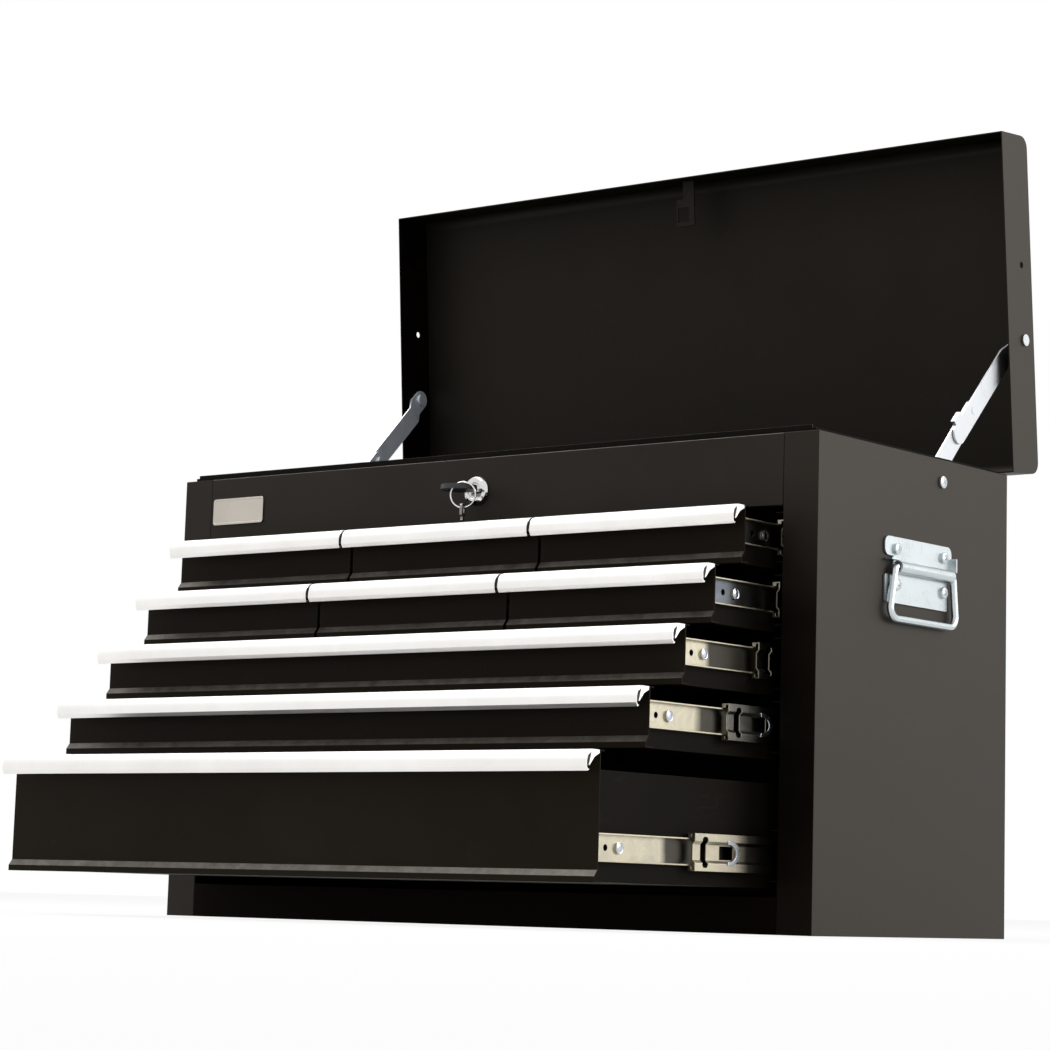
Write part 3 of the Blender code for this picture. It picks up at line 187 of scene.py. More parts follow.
# Each softbox: place, size and power
SOFTBOXES = {
    "softbox above": ((-1.0, -0.6, 2.6), (3.4, 1.6), 64),
    "softbox right": ((2.6, 1.4, 1.3), (1.6, 1.8), 45),
}

# Colours and strengths of scratches, soiling, wear, painted highlight and painted shade
SCRATCH_TURN = Vector((0.5, 0.3, 0.7))
SCRATCH_SCALE = Vector((1.0, 0.18, 0.6))
DUST_AND_HIGHLIGHT_COLOUR = (0.30, 0.28, 0.25)
SCUFF_COLOUR = (0.16, 0.15, 0.14)
WORN_ZINC = (0.42, 0.41, 0.39)
SHADED_STEEL = (0.035, 0.032, 0.028)
PAINTED_SHADE_COLOUR = (0.0045, 0.0034, 0.0022)
PAINTED_SHADE_SHEEN = 0.06
STEEL_SHADE = 0.94
WARM_SHEEN = (1.0, 0.87, 0.73, 1.0)
DULL_CHROME = (0.62, 0.61, 0.59)
BRIGHT_CHROME = (0.78, 0.78, 0.77)
CHROME_SWATCH = (0.8, 0.8, 0.8)
MATT_PLASTIC = (0.012, 0.012, 0.013)
POLISHED_PLASTIC = (0.022, 0.022, 0.023)
PLASTIC_SWATCH = (0.02, 0.02, 0.02)
PLASTIC_SHEEN = {"Specular_IOR_Level": 0.5}
SCUFF_SHARE = 0.08
WEAR_SHARE = 0.15
FLECK_WEIGHT = 0.45
FLECK_SHINE = -0.05
LINE_ROUGHNESS = 0.06
RAGGED_REACH = 0.006

# Noise of each effect: size where it is fixed, then detail, roughness and distortion
PEEL_NOISE = (2.0,)
FLECK_NOISE = (1.0,)
PATCH_NOISE = (4.0, 0.6, 0.4)
DUST_AND_HIGHLIGHT_NOISE = (6.0, 0.7)
LINE_NOISE = (3.0, 0.6)
CLOUD_NOISE = (5.0, 0.65, 0.6)
SCRATCH_NOISE = (2.0,)
BREAK_NOISE = (0.035, 2.0)
NOISE_MIDDLE = 0.5
RAGGED_NOISE = (0.02, 3.0)

# Range of each effect that is spread over zero to one
PATCH_RANGE = (0.3, 0.7)
FLECK_RANGE = (0.62, 0.75)
UPWARD_RANGE = (0.25, 0.95)
DUST_AND_HIGHLIGHT_RANGE = (0.35, 0.75)
LINE_RANGE = (0.25, 0.75)
CLOUD_RANGE = (0.3, 0.7)
SCRATCH_RANGE = (0.0, 0.006)
BREAK_RANGE = (0.5, 0.62)
UNIT = (0.0, 1.0)
UNIT_DOWN = (1.0, 0.0)
THIN_DUST_AND_HIGHLIGHT = (0.15, 1.0)

# Roughness about a finish's own value, or by itself, from one end of its mask to the other
PAINT_SPREAD = (-0.03, 0.04)
ZINC_SPREAD = (-0.05, 0.07)
ALUMINIUM_SPREAD = (-0.04, 0.05)
CHROME_ROUGHNESS = (0.08, 0.15)
PLASTIC_ROUGHNESS = (0.34, 0.48)

# Bump of each finish: strength and depth
PAINT_BUMP = (0.12, 0.05 * MM)
ZINC_BUMP = (0.10, 0.03 * MM)
ALUMINIUM_BUMP = (0.08, 0.02 * MM)
CHROME_BUMP = (0.05, 0.01 * MM)
PLASTIC_BUMP = (0.15, 0.04 * MM)

# Values given to the shader groups by each finish
ZINC_GRAIN = {"Line_Size": 0.0007, "Cloud_Size": 0.018}
ALUMINIUM_GRAIN = {"Stretch": (0.012, 1.0, 1.0), "Line_Size": 0.0009, "Cloud_Size": 0.06}
CHROME_GRAIN = {"Stretch": (1.0, 0.1, 1.0), "Line_Size": 0.0004, "Cloud_Size": 0.006}
PLASTIC_GRAIN = {"Peel_Size": 0.0006, "Patch_Size": 0.009}
PAINT_SCRATCHES = 0.35
ZINC_SCRATCHES = 0.4
ALUMINIUM_SCRATCHES = 0.3
CHROME_SCRATCHES = 0.5
SCRATCH_TARNISH = 0.2

# Colours of the plating, directions of the drawn grain, and the shade on the right stile
STRAW = (0.64, 0.58, 0.44)
CLOUD = (0.42, 0.39, 0.31)
ALONG_X = (0.02, 1.0, 1.0)
ALONG_Y = (1.0, 0.02, 1.0)
ALONG_Z = (1.0, 1.0, 0.05)
STILE_SHADE = ((0.0, 0.0, -1.0), -0.310, -0.210)

# Paint on each part of the chest: dark and light colour, roughness, sheen, soiling and painted
# highlight, and on the stile its painted shade
PAINTS = {
    # The front paint is lightened on what faces up, such as the fascia's top fold: soiling and a painted
    # highlight.
    "front": ((0.0120, 0.0100, 0.0083), (0.0165, 0.0142, 0.0120), 0.42, 0.155, 0.80),
    "stile": ((0.0120, 0.0100, 0.0083), (0.0165, 0.0142, 0.0120), 0.42, 0.155, 0.10, STILE_SHADE),
    # The side paint is a lighter, glossier copy of the front paint: painted light on the side panels and
    # the lid's right wall.
    "side": ((0.0165, 0.0138, 0.0108), (0.0215, 0.0182, 0.0145), 0.42, 0.27, 0.10),
    "drawer": ((0.0085, 0.0065, 0.0042), (0.0120, 0.0092, 0.0062), 0.44, 0.055, 0.20),
    # The flare paint is a lighter, glossier copy, lightened strongly on what faces up: a painted
    # highlight on the drawers' flared feet.
    "flare": ((0.0140, 0.0120, 0.0100), (0.0180, 0.0155, 0.0130), 0.30, 0.62, 0.90),
    # The box paint is a darker, duller copy: painted shade on the drawers' boxes and the till's floor
    # and walls.
    "box": ((0.0048, 0.0040, 0.0031), (0.0070, 0.0058, 0.0046), 0.50, 0.036, 0.10),
    "lid": ((0.0080, 0.0068, 0.0052), (0.0110, 0.0095, 0.0075), 0.46, 0.105, 0.05),
    # The near-black copy is painted shade on the bottom panel and the inside of the lid's left wall.
    "deep": ((0.0022, 0.0010, 0.0008), (0.0034, 0.0018, 0.0014), 0.55, 0.030, 0.02),
}

# Plating on each part: straw and bluish colour, roughness, grain direction, shade along the slide
PLATINGS = {
    # Strips 1 and 2 are dark copies of the plating: painted shade on the strips of the two upper rows.
    "strip 1": ((0.10, 0.10, 0.09), (0.06, 0.06, 0.055), 0.30, ALONG_Y, (-0.150, -0.140)),
    "strip 2": ((0.22, 0.24, 0.26), (0.13, 0.14, 0.16), 0.30, ALONG_Y, (-0.172, -0.160)),
    "strip 3": (STRAW, CLOUD, 0.28, ALONG_Y, (-0.196, -0.190)),
    "strip 4": (STRAW, CLOUD, 0.28, ALONG_Y, (-0.207, -0.198)),
    "strip 5": (STRAW, CLOUD, 0.28, ALONG_Y, (-0.242, -0.234)),
    "lip": (STRAW, CLOUD, 0.28, ALONG_Y, None),
    # The inner rail is a darker copy of the plating: painted shade on the middle rails of rows 1 to 4.
    "inner rail": ((0.20, 0.19, 0.17), (0.11, 0.105, 0.095), 0.26, ALONG_Y, (-0.150, -0.140)),
    "rail": (STRAW, CLOUD, 0.28, ALONG_Y, (-0.166, -0.152)),
    "stay": ((0.66, 0.68, 0.70), (0.56, 0.58, 0.60), 0.28, ALONG_Z, None),
    # The left stay is a lighter, bluer, rougher copy of the stay plating: painted light.
    "left stay": ((0.80, 0.84, 0.90), (0.70, 0.74, 0.80), 0.60, ALONG_Z, None),
    "handle": ((0.62, 0.66, 0.67), (0.55, 0.60, 0.62), 0.26, ALONG_Z, None),
    "hinge": ((0.42, 0.38, 0.38), (0.34, 0.31, 0.31), 0.36, ALONG_X, None),
    "clip": ((0.60, 0.62, 0.66), (0.46, 0.50, 0.56), 0.18, ALONG_Y, None),
    "spare": ((0.30, 0.29, 0.28), (0.22, 0.21, 0.20), 0.34, ALONG_Z, None),
}

RUNNER_PAINT = ((0.006, 0.006, 0.006), (0.010, 0.010, 0.010), 0.55, 0.10, 0.05, None, "runner_black")
PULL_METAL = ((0.86, 0.84, 0.81), (0.93, 0.92, 0.90), 0.34)
PLATE_METAL = ((0.46, 0.42, 0.37), (0.56, 0.52, 0.46), 0.30)

FLOAT = "NodeSocketFloat"
VECTOR = "NodeSocketVector"


# Shader groups


def shader_group(name, inputs, outputs):
    """An empty shader group; inputs are name, kind and default, outputs are name and kind."""
    group = bpy.data.node_groups.new(name, "ShaderNodeTree")
    for label, kind, default in inputs:
        socket = group.interface.new_socket(name=label, in_out="INPUT", socket_type=kind)
        socket.default_value = default
    for label, kind in outputs:
        group.interface.new_socket(name=label, in_out="OUTPUT", socket_type=kind)
    entry = group.nodes.new("NodeGroupInput")
    end = group.nodes.new("NodeGroupOutput")
    return group, entry, end


def put(tree, kind, settings=None, **inputs):
    """A node with its settings, and each input either linked from a socket or given a value."""
    node = tree.nodes.new(kind)
    for key, value in (settings or {}).items():
        setattr(node, key, value)
    for label, value in inputs.items():
        numbered = label[0] == "i" and label[1:].isdigit()
        socket = node.inputs[int(label[1:]) if numbered else label]
        if isinstance(value, bpy.types.NodeSocket):
            tree.links.new(value, socket)
        else:
            socket.default_value = value
    return node


def maths(tree, operation, first, second=0.0, third=0.0):
    """The result of one sum on up to three values."""
    node = put(tree, "ShaderNodeMath", {"operation": operation}, i0=first, i1=second, i2=third)
    return node.outputs[0]


def ranged(tree, value, low, high, to_low, to_high):
    """The value carried from one range to another, clamped."""
    node = put(tree, "ShaderNodeMapRange", None, i0=value, i1=low, i2=high, i3=to_low, i4=to_high)
    return node.outputs[0]


def noise(tree, place, size, detail, roughness=0.5, distortion=0.0):
    """Noise whose features are about as large as size, which is in metres."""
    scale = maths(tree, "DIVIDE", 1.0, size)
    inputs = {"Vector": place, "Scale": scale, "Detail": detail, "Roughness": roughness}
    node = put(tree, "ShaderNodeTexNoise", None, Distortion=distortion, **inputs)
    return node.outputs[0]


def object_place(tree):
    """The point's place in the piece's own frame."""
    return tree.nodes.new("ShaderNodeTexCoord").outputs["Object"]


def coat_grain_group():
    """Powder coat: the fine orange peel of the film, and broad patches where it is thicker."""
    inputs = [("Peel Size", FLOAT, 0.0011), ("Patch Size", FLOAT, 0.09), ("Fleck Size", FLOAT, 0.0004)]
    outputs = [("Height", FLOAT), ("Patch", FLOAT), ("Fleck", FLOAT)]
    group, entry, end = shader_group("powder coat grain", inputs, outputs)
    place = object_place(group)
    peel = noise(group, place, entry.outputs["Peel Size"], *PEEL_NOISE)
    fleck = noise(group, place, entry.outputs["Fleck Size"], *FLECK_NOISE)
    patch = noise(group, place, entry.outputs["Patch Size"], *PATCH_NOISE)
    height = maths(group, "MULTIPLY_ADD", fleck, FLECK_WEIGHT, peel)
    group.links.new(height, end.inputs["Height"])
    group.links.new(ranged(group, patch, *PATCH_RANGE, *UNIT), end.inputs["Patch"])
    group.links.new(ranged(group, fleck, *FLECK_RANGE, *UNIT), end.inputs["Fleck"])
    return group


def dust_and_highlight_group():
    """Soiling on what faces up, broken up by noise; with a large amount it is also a painted highlight
    on what faces up.
    """
    inputs = [("Amount", FLOAT, 0.3), ("Speck Size", FLOAT, 0.012)]
    group, entry, end = shader_group("settled dust", inputs, [("Dust", FLOAT)])
    geometry = group.nodes.new("ShaderNodeNewGeometry")
    up = put(group, "ShaderNodeSeparateXYZ", None, i0=geometry.outputs["Normal"]).outputs["Z"]
    facing = ranged(group, up, *UPWARD_RANGE, *UNIT)
    cloud = noise(group, object_place(group), entry.outputs["Speck Size"], *DUST_AND_HIGHLIGHT_NOISE)
    broken = ranged(group, cloud, *DUST_AND_HIGHLIGHT_RANGE, *THIN_DUST_AND_HIGHLIGHT)
    mask = maths(group, "MULTIPLY", facing, broken)
    group.links.new(maths(group, "MULTIPLY", mask, entry.outputs["Amount"]), end.inputs["Dust"])
    return group


def drawn_grain_group():
    """Lines drawn out along one direction, as on an extrusion or a rolled strip."""
    inputs = [
        ("Line Size", FLOAT, 0.0006),
        ("Stretch", VECTOR, ALONG_X),
        ("Cloud Size", FLOAT, 0.03),
    ]
    outputs = [("Line", FLOAT), ("Cloud", FLOAT)]
    group, entry, end = shader_group("drawn metal grain", inputs, outputs)
    place = object_place(group)
    settings = {"operation": "MULTIPLY"}
    squeezed = put(group, "ShaderNodeVectorMath", settings, i0=place, i1=entry.outputs["Stretch"])
    lines = noise(group, squeezed.outputs[0], entry.outputs["Line Size"], *LINE_NOISE)
    cloud = noise(group, place, entry.outputs["Cloud Size"], *CLOUD_NOISE)
    group.links.new(ranged(group, lines, *LINE_RANGE, *UNIT), end.inputs["Line"])
    group.links.new(ranged(group, cloud, *CLOUD_RANGE, *UNIT), end.inputs["Cloud"])
    return group


def scratch_group():
    """Fine scratches from handling, in two crossing directions."""
    inputs = [("Length", FLOAT, 0.02), ("Density", FLOAT, 0.5)]
    group, entry, end = shader_group("handling scratches", inputs, [("Scratch", FLOAT)])
    place = object_place(group)
    masks = []
    for turn in (SCRATCH_TURN, -SCRATCH_TURN):
        placed = {"Vector": place, "Rotation": turn, "Scale": SCRATCH_SCALE}
        mapping = put(group, "ShaderNodeMapping", None, **placed)
        lines = noise(group, mapping.outputs[0], entry.outputs["Length"], *SCRATCH_NOISE)
        near = maths(group, "ABSOLUTE", maths(group, "SUBTRACT", lines, NOISE_MIDDLE))
        masks.append(ranged(group, near, *SCRATCH_RANGE, *UNIT_DOWN))
    both = maths(group, "MAXIMUM", masks[0], masks[1])
    broken = ranged(group, noise(group, place, *BREAK_NOISE), *BREAK_RANGE, *UNIT)
    mask = maths(group, "MULTIPLY", maths(group, "MULTIPLY", both, broken), entry.outputs["Density"])
    group.links.new(mask, end.inputs["Scratch"])
    return group


def depth_group():
    """How far into the painted shade of the opening a point lies, from its place along an axis."""
    inputs = [("Axis", VECTOR, (0.0, 1.0, 0.0)), ("From", FLOAT, 0.0), ("To", FLOAT, 0.02)]
    group, entry, end = shader_group("shade of the opening", inputs, [("Shade", FLOAT)])
    place = object_place(group)
    settings = {"operation": "DOT_PRODUCT"}
    across = put(group, "ShaderNodeVectorMath", settings, i0=place, i1=entry.outputs["Axis"])
    along = across.outputs["Value"]
    waver = noise(group, place, *RAGGED_NOISE)
    ragged = maths(group, "MULTIPLY_ADD", waver, RAGGED_REACH, along)
    shade = ranged(group, ragged, entry.outputs["From"], entry.outputs["To"], *UNIT)
    group.links.new(shade, end.inputs["Shade"])
    return group


def use(tree, group, **values):
    """One copy of a shader group, with this material's own values."""
    node = tree.nodes.new("ShaderNodeGroup")
    node.node_tree = group
    for label, value in values.items():
        node.inputs[label.replace("_", " ")].default_value = value
    return node.outputs


# Finishes


def new_finish(name, slot, colour, **plain):
    """A Principled material with its plain values set on the shader's own sockets."""
    made = bpy.data.materials.new(name)
    made.use_nodes = True
    made.diffuse_color = (*colour, 1)
    shader = made.node_tree.nodes["Principled BSDF"]
    for label, value in plain.items():
        shader.inputs[label.replace("_", " ")].default_value = value
    return made, made.node_tree, shader


def blend_colour(tree, mask, base, top):
    """One colour over another where the mask is; each is a plain colour or a socket."""
    node = put(tree, "ShaderNodeMix", {"data_type": "RGBA"}, Factor=mask)
    for socket, colour in zip((node.inputs[6], node.inputs[7]), (base, top)):
        if isinstance(colour, bpy.types.NodeSocket):
            tree.links.new(colour, socket)
        else:
            socket.default_value = (*colour, 1)
    return node.outputs[2]


def bumped(tree, shader, height, strength, distance):
    """Gives the shader a relief from a height."""
    node = put(tree, "ShaderNodeBump", None, Strength=strength, Distance=distance, Height=height)
    tree.links.new(node.outputs[0], shader.inputs["Normal"])


def spread(tree, mask, roughness, ends):
    """Roughness that runs about its own value from one end of the mask to the other."""
    return ranged(tree, mask, *UNIT, roughness + ends[0], roughness + ends[1])


def powder_coat(name, groups, dark, light, roughness, sheen, dust, shade=None, slot="black_paint"):
    """Painted sheet: two near colours in patches, orange peel, soiling and painted highlight on what
    faces up, a few scuffs, and a painted shade where one is given.
    """
    plain = {"Specular_IOR_Level": sheen, "Specular_Tint": WARM_SHEEN}
    made, tree, shader = new_finish(name, slot, light, **plain)
    grain = use(tree, groups["coat"])
    # Soiling on what faces up; in the front and flare paints it is strong enough to be a painted
    # highlight.
    upward = use(tree, groups["dust"], Amount=dust)
    scuffs = use(tree, groups["scratch"], Density=PAINT_SCRATCHES)
    paint = blend_colour(tree, grain["Patch"], dark, light)
    dusted_and_lit = blend_colour(tree, upward["Dust"], paint, DUST_AND_HIGHLIGHT_COLOUR)
    faint = maths(tree, "MULTIPLY", scuffs["Scratch"], SCUFF_SHARE)
    scuffed = blend_colour(tree, faint, dusted_and_lit, SCUFF_COLOUR)
    # Painted shade: along the axis the paint darkens to near black and loses most of its sheen.
    if shade:
        axis, near, far = shade
        deep = use(tree, groups["depth"], Axis=axis, From=near, To=far)["Shade"]
        scuffed = blend_colour(tree, deep, scuffed, PAINTED_SHADE_COLOUR)
        fading = ranged(tree, deep, *UNIT, sheen, PAINTED_SHADE_SHEEN)
        tree.links.new(fading, shader.inputs["Specular IOR Level"])
    tree.links.new(scuffed, shader.inputs["Base Color"])
    rough = spread(tree, grain["Patch"], roughness, PAINT_SPREAD)
    speckled = maths(tree, "MULTIPLY_ADD", grain["Fleck"], FLECK_SHINE, rough)
    tree.links.new(speckled, shader.inputs["Roughness"])
    bumped(tree, shader, grain["Height"], *PAINT_BUMP)
    return made


def zinc_plate(name, groups, warm, cool, roughness, stretch, shade=None):
    """Bright zinc on rolled strip: drawn lines, plating clouded from bluish to straw, scratches, and a
    painted shade where one is given.
    """
    made, tree, shader = new_finish(name, "zinc", warm, Metallic=1.0)
    grain = use(tree, groups["drawn"], Stretch=stretch, **ZINC_GRAIN)
    scratches = use(tree, groups["scratch"], Density=ZINC_SCRATCHES)
    plating = blend_colour(tree, grain["Cloud"], warm, cool)
    faint = maths(tree, "MULTIPLY", scratches["Scratch"], WEAR_SHARE)
    worn = blend_colour(tree, faint, plating, WORN_ZINC)
    # Painted shade: along the slide the plating darkens to near black, into the cabinet.
    if shade:
        deep = use(tree, groups["depth"], From=shade[0], To=shade[1])["Shade"]
        dimmed = maths(tree, "MULTIPLY", deep, STEEL_SHADE)
        worn = blend_colour(tree, dimmed, worn, SHADED_STEEL)
    tree.links.new(worn, shader.inputs["Base Color"])
    rough = spread(tree, grain["Cloud"], roughness, ZINC_SPREAD)
    lined = maths(tree, "MULTIPLY_ADD", grain["Line"], LINE_ROUGHNESS, rough)
    tree.links.new(lined, shader.inputs["Roughness"])
    bumped(tree, shader, grain["Line"], *ZINC_BUMP)
    return made


def drawn_aluminium(name, groups, dull, bright, roughness):
    """Satin anodised extrusion with die lines along its length."""
    made, tree, shader = new_finish(name, "aluminium", bright, Metallic=1.0)
    grain = use(tree, groups["drawn"], **ALUMINIUM_GRAIN)
    scratches = use(tree, groups["scratch"], Density=ALUMINIUM_SCRATCHES)
    metal = blend_colour(tree, grain["Cloud"], dull, bright)
    faint = maths(tree, "MULTIPLY", scratches["Scratch"], SCRATCH_TARNISH)
    worn = blend_colour(tree, faint, metal, WORN_ZINC)
    tree.links.new(worn, shader.inputs["Base Color"])
    rough = spread(tree, grain["Line"], roughness, ALUMINIUM_SPREAD)
    tree.links.new(rough, shader.inputs["Roughness"])
    bumped(tree, shader, grain["Line"], *ALUMINIUM_BUMP)
    return made


def polished_chrome(name, groups):
    """Bright plating, clouded by handling and finely lined by its polishing."""
    made, tree, shader = new_finish(name, "chrome", CHROME_SWATCH, Metallic=1.0)
    grain = use(tree, groups["drawn"], **CHROME_GRAIN)
    scratches = use(tree, groups["scratch"], Density=CHROME_SCRATCHES)
    metal = blend_colour(tree, grain["Cloud"], DULL_CHROME, BRIGHT_CHROME)
    tree.links.new(metal, shader.inputs["Base Color"])
    rough = ranged(tree, grain["Line"], *UNIT, *CHROME_ROUGHNESS)
    scuffed = maths(tree, "MULTIPLY_ADD", scratches["Scratch"], SCRATCH_TARNISH, rough)
    tree.links.new(scuffed, shader.inputs["Roughness"])
    bumped(tree, shader, grain["Line"], *CHROME_BUMP)
    return made


def moulded_plastic(name, groups):
    """Fine spark-eroded texture, a shade lighter where fingers have polished it."""
    made, tree, shader = new_finish(name, "key_plastic", PLASTIC_SWATCH, **PLASTIC_SHEEN)
    grain = use(tree, groups["coat"], **PLASTIC_GRAIN)
    colour = blend_colour(tree, grain["Patch"], MATT_PLASTIC, POLISHED_PLASTIC)
    tree.links.new(colour, shader.inputs["Base Color"])
    rough = ranged(tree, grain["Patch"], *UNIT, *PLASTIC_ROUGHNESS)
    tree.links.new(rough, shader.inputs["Roughness"])
    bumped(tree, shader, grain["Height"], *PLASTIC_BUMP)
    return made


def all_finishes():
    """Every finish of the chest, by its label."""
    groups = {
        "coat": coat_grain_group(),
        "dust": dust_and_highlight_group(),
        "drawn": drawn_grain_group(),
        "scratch": scratch_group(),
        "depth": depth_group(),
    }
    made = {}
    for label, values in PAINTS.items():
        made[label] = powder_coat(f"black powder coat {label}", groups, *values)
    made["runner"] = powder_coat("black runner paint", groups, *RUNNER_PAINT)
    for label, values in PLATINGS.items():
        made[label] = zinc_plate(f"zinc {label}", groups, *values)
    made["pull"] = drawn_aluminium("satin aluminium", groups, *PULL_METAL)
    made["plate"] = drawn_aluminium("brushed plate", groups, *PLATE_METAL)
    made["chrome"] = polished_chrome("polished chrome", groups)
    made["plastic"] = moulded_plastic("black moulded plastic", groups)
    return made


# Mesh helpers


def finished(name, mesh, finish, body, smooth=SMOOTH_ANGLE):
    """A new piece from a bmesh: smooth shaded, with its finish, riding on a body."""
    data = bpy.data.meshes.new(name)
    bmesh.ops.recalc_face_normals(mesh, faces=mesh.faces)
    mesh.to_mesh(data)
    mesh.free()
    obj = bpy.data.objects.new(name, data)
    bpy.context.scene.collection.objects.link(obj)
    finishes = finish if isinstance(finish, (list, tuple)) else [finish]
    for each in finishes:
        data.materials.append(each)
    data.shade_smooth()
    data.set_sharp_from_angle(angle=smooth)
    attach(obj, body)
    return obj


def clean_copy(node):
    """The node's solid as a clean mesh: corners joined, flat triangles made into convex faces."""
    mesh = bmesh.new()
    mesh.from_mesh(NODES[node].data)
    bmesh.ops.remove_doubles(mesh, verts=mesh.verts, dist=WELD_DISTANCE)
    edges = mesh.edges[:]
    bmesh.ops.dissolve_limit(mesh, angle_limit=FLAT_ANGLE, verts=mesh.verts, edges=edges)
    bmesh.ops.connect_verts_concave(mesh, faces=mesh.faces)
    return mesh


def body_of(node):
    """The moving body that carries the node."""
    return NODES[node]["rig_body"]


def rounded_edges(obj, width):
    """Rounds the piece's edges by a width."""
    rounded = obj.modifiers.new("rounded edges", "BEVEL")
    rounded.width = width
    rounded.segments = ROUND_STEPS
    return rounded


def dressed(node, finish, rounding=EDGE_ROUND, choose=None, smooth=SMOOTH_ANGLE):
    """The node's shape with its folds and cut edges rounded.

    Where there are several finishes, choose gives the number of the one for a face from its centre
    and its normal.
    """
    mesh = clean_copy(node)
    obj = finished(f"{node}_finish", mesh, finish, body_of(node), smooth)
    rounded = rounded_edges(obj, rounding)
    rounded.limit_method = "ANGLE"
    rounded.angle_limit = FOLD_ANGLE
    rounded.use_clamp_overlap = True
    flat = obj.modifiers.new("flat faces stay flat", "WEIGHTED_NORMAL")
    flat.keep_sharp = True
    flat.weight = FLAT_WEIGHT
    if choose:
        for face in obj.data.polygons:
            face.material_index = choose(face.center, face.normal)
    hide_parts(node)


# Studio


def camera_axes():
    """Right, up and forward of the camera."""
    forward = Vector(
        (
            -sin(CAMERA_YAW) * cos(CAMERA_PITCH),
            cos(CAMERA_YAW) * cos(CAMERA_PITCH),
            sin(CAMERA_PITCH),
        )
    )
    level = Vector((cos(CAMERA_YAW), sin(CAMERA_YAW), 0))
    upright = level.cross(forward)
    right = level * cos(CAMERA_ROLL) + upright * sin(CAMERA_ROLL)
    up = upright * cos(CAMERA_ROLL) - level * sin(CAMERA_ROLL)
    return right, up, forward


def add_camera():
    """The camera at the photograph's place, angle and frame."""
    data = bpy.data.cameras.new("camera")
    data.sensor_width = SENSOR
    data.lens = SENSOR * FOCAL_PIXELS / IMAGE_SIZE
    middle = IMAGE_SIZE / 2
    data.shift_x = (middle - CENTRE_PIXEL[0]) / IMAGE_SIZE
    data.shift_y = (CENTRE_PIXEL[1] - middle) / IMAGE_SIZE
    data.clip_end = VIEW_END
    camera = bpy.data.objects.new("camera", data)
    right, up, forward = camera_axes()
    turn = Matrix((right, up, -forward)).transposed()
    camera.matrix_world = Matrix.Translation(CAMERA_PLACE) @ turn.to_4x4()
    bpy.context.scene.collection.objects.link(camera)
    bpy.context.scene.camera = camera


def seen_directly(tree):
    """One for camera, glossy and transmission rays, which see plain white; zero for the rest."""
    path = tree.nodes.new("ShaderNodeLightPath").outputs
    glossy = maths(tree, "MAXIMUM", path["Is Glossy Ray"], path["Is Transmission Ray"])
    return maths(tree, "MAXIMUM", path["Is Camera Ray"], glossy)


def white_world():
    """White background, with a weaker light from it on the chest."""
    world = bpy.data.worlds.new("studio")
    world.use_nodes = True
    bpy.context.scene.world = world
    tree = world.node_tree
    background = tree.nodes["Background"]
    background.inputs["Color"].default_value = WHITE
    strength = ranged(tree, seen_directly(tree), *UNIT, WORLD_FILL, 1.0)
    tree.links.new(strength, background.inputs["Strength"])


def pale_floor():
    """Plain floor that keeps the chest's shadow."""
    mesh = bmesh.new()
    bmesh.ops.create_grid(mesh, x_segments=1, y_segments=1, size=FLOOR_HALF)
    data = bpy.data.meshes.new("floor")
    mesh.to_mesh(data)
    mesh.free()
    floor = bpy.data.objects.new("floor", data)
    floor.location.z = -FLOOR_DROP
    bpy.context.scene.collection.objects.link(floor)
    made = bpy.data.materials.new("pale floor")
    made.use_nodes = True
    tree = made.node_tree
    shader = tree.nodes["Principled BSDF"]
    shader.inputs["Base Color"].default_value = FLOOR_PAINT
    shader.inputs["Roughness"].default_value = FLOOR_ROUGHNESS
    shader.inputs["Specular IOR Level"].default_value = 0.0
    glow = put(tree, "ShaderNodeEmission", None, Color=WHITE, Strength=1.0)
    share = maths(tree, "MULTIPLY", seen_directly(tree), FLOOR_GLOW)
    mixed = put(tree, "ShaderNodeMixShader", None, i0=share)
    tree.links.new(shader.outputs[0], mixed.inputs[1])
    tree.links.new(glow.outputs[0], mixed.inputs[2])
    tree.links.new(mixed.outputs[0], tree.nodes["Material Output"].inputs["Surface"])
    data.materials.append(made)


def softbox(name, place, size, power):
    """A rectangular soft light aimed at the chest."""
    data = bpy.data.lights.new(name, "AREA")
    data.shape = "RECTANGLE"
    data.size, data.size_y = size
    data.energy = power
    light = bpy.data.objects.new(name, data)
    light.location = place
    aim = Vector(LIGHT_TARGET) - Vector(place)
    light.rotation_euler = aim.to_track_quat("-Z", "Y").to_euler()
    bpy.context.scene.collection.objects.link(light)


def studio():
    """Background, floor, lights and plain view settings."""
    white_world()
    pale_floor()
    for name, values in SOFTBOXES.items():
        softbox(name, *values)
    bpy.context.scene.view_settings.view_transform = "Standard"


# The chest's own pieces


def drawer_faces(node):
    """X of the outsides of a drawer's two side walls, from the middle rails beside it."""
    label = node.replace("drawer_", "")
    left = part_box(f"middle_rail_{label}_left")[1].x + RAIL_STANDS_OFF
    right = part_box(f"middle_rail_{label}_right")[0].x - RAIL_STANDS_OFF
    return left, right


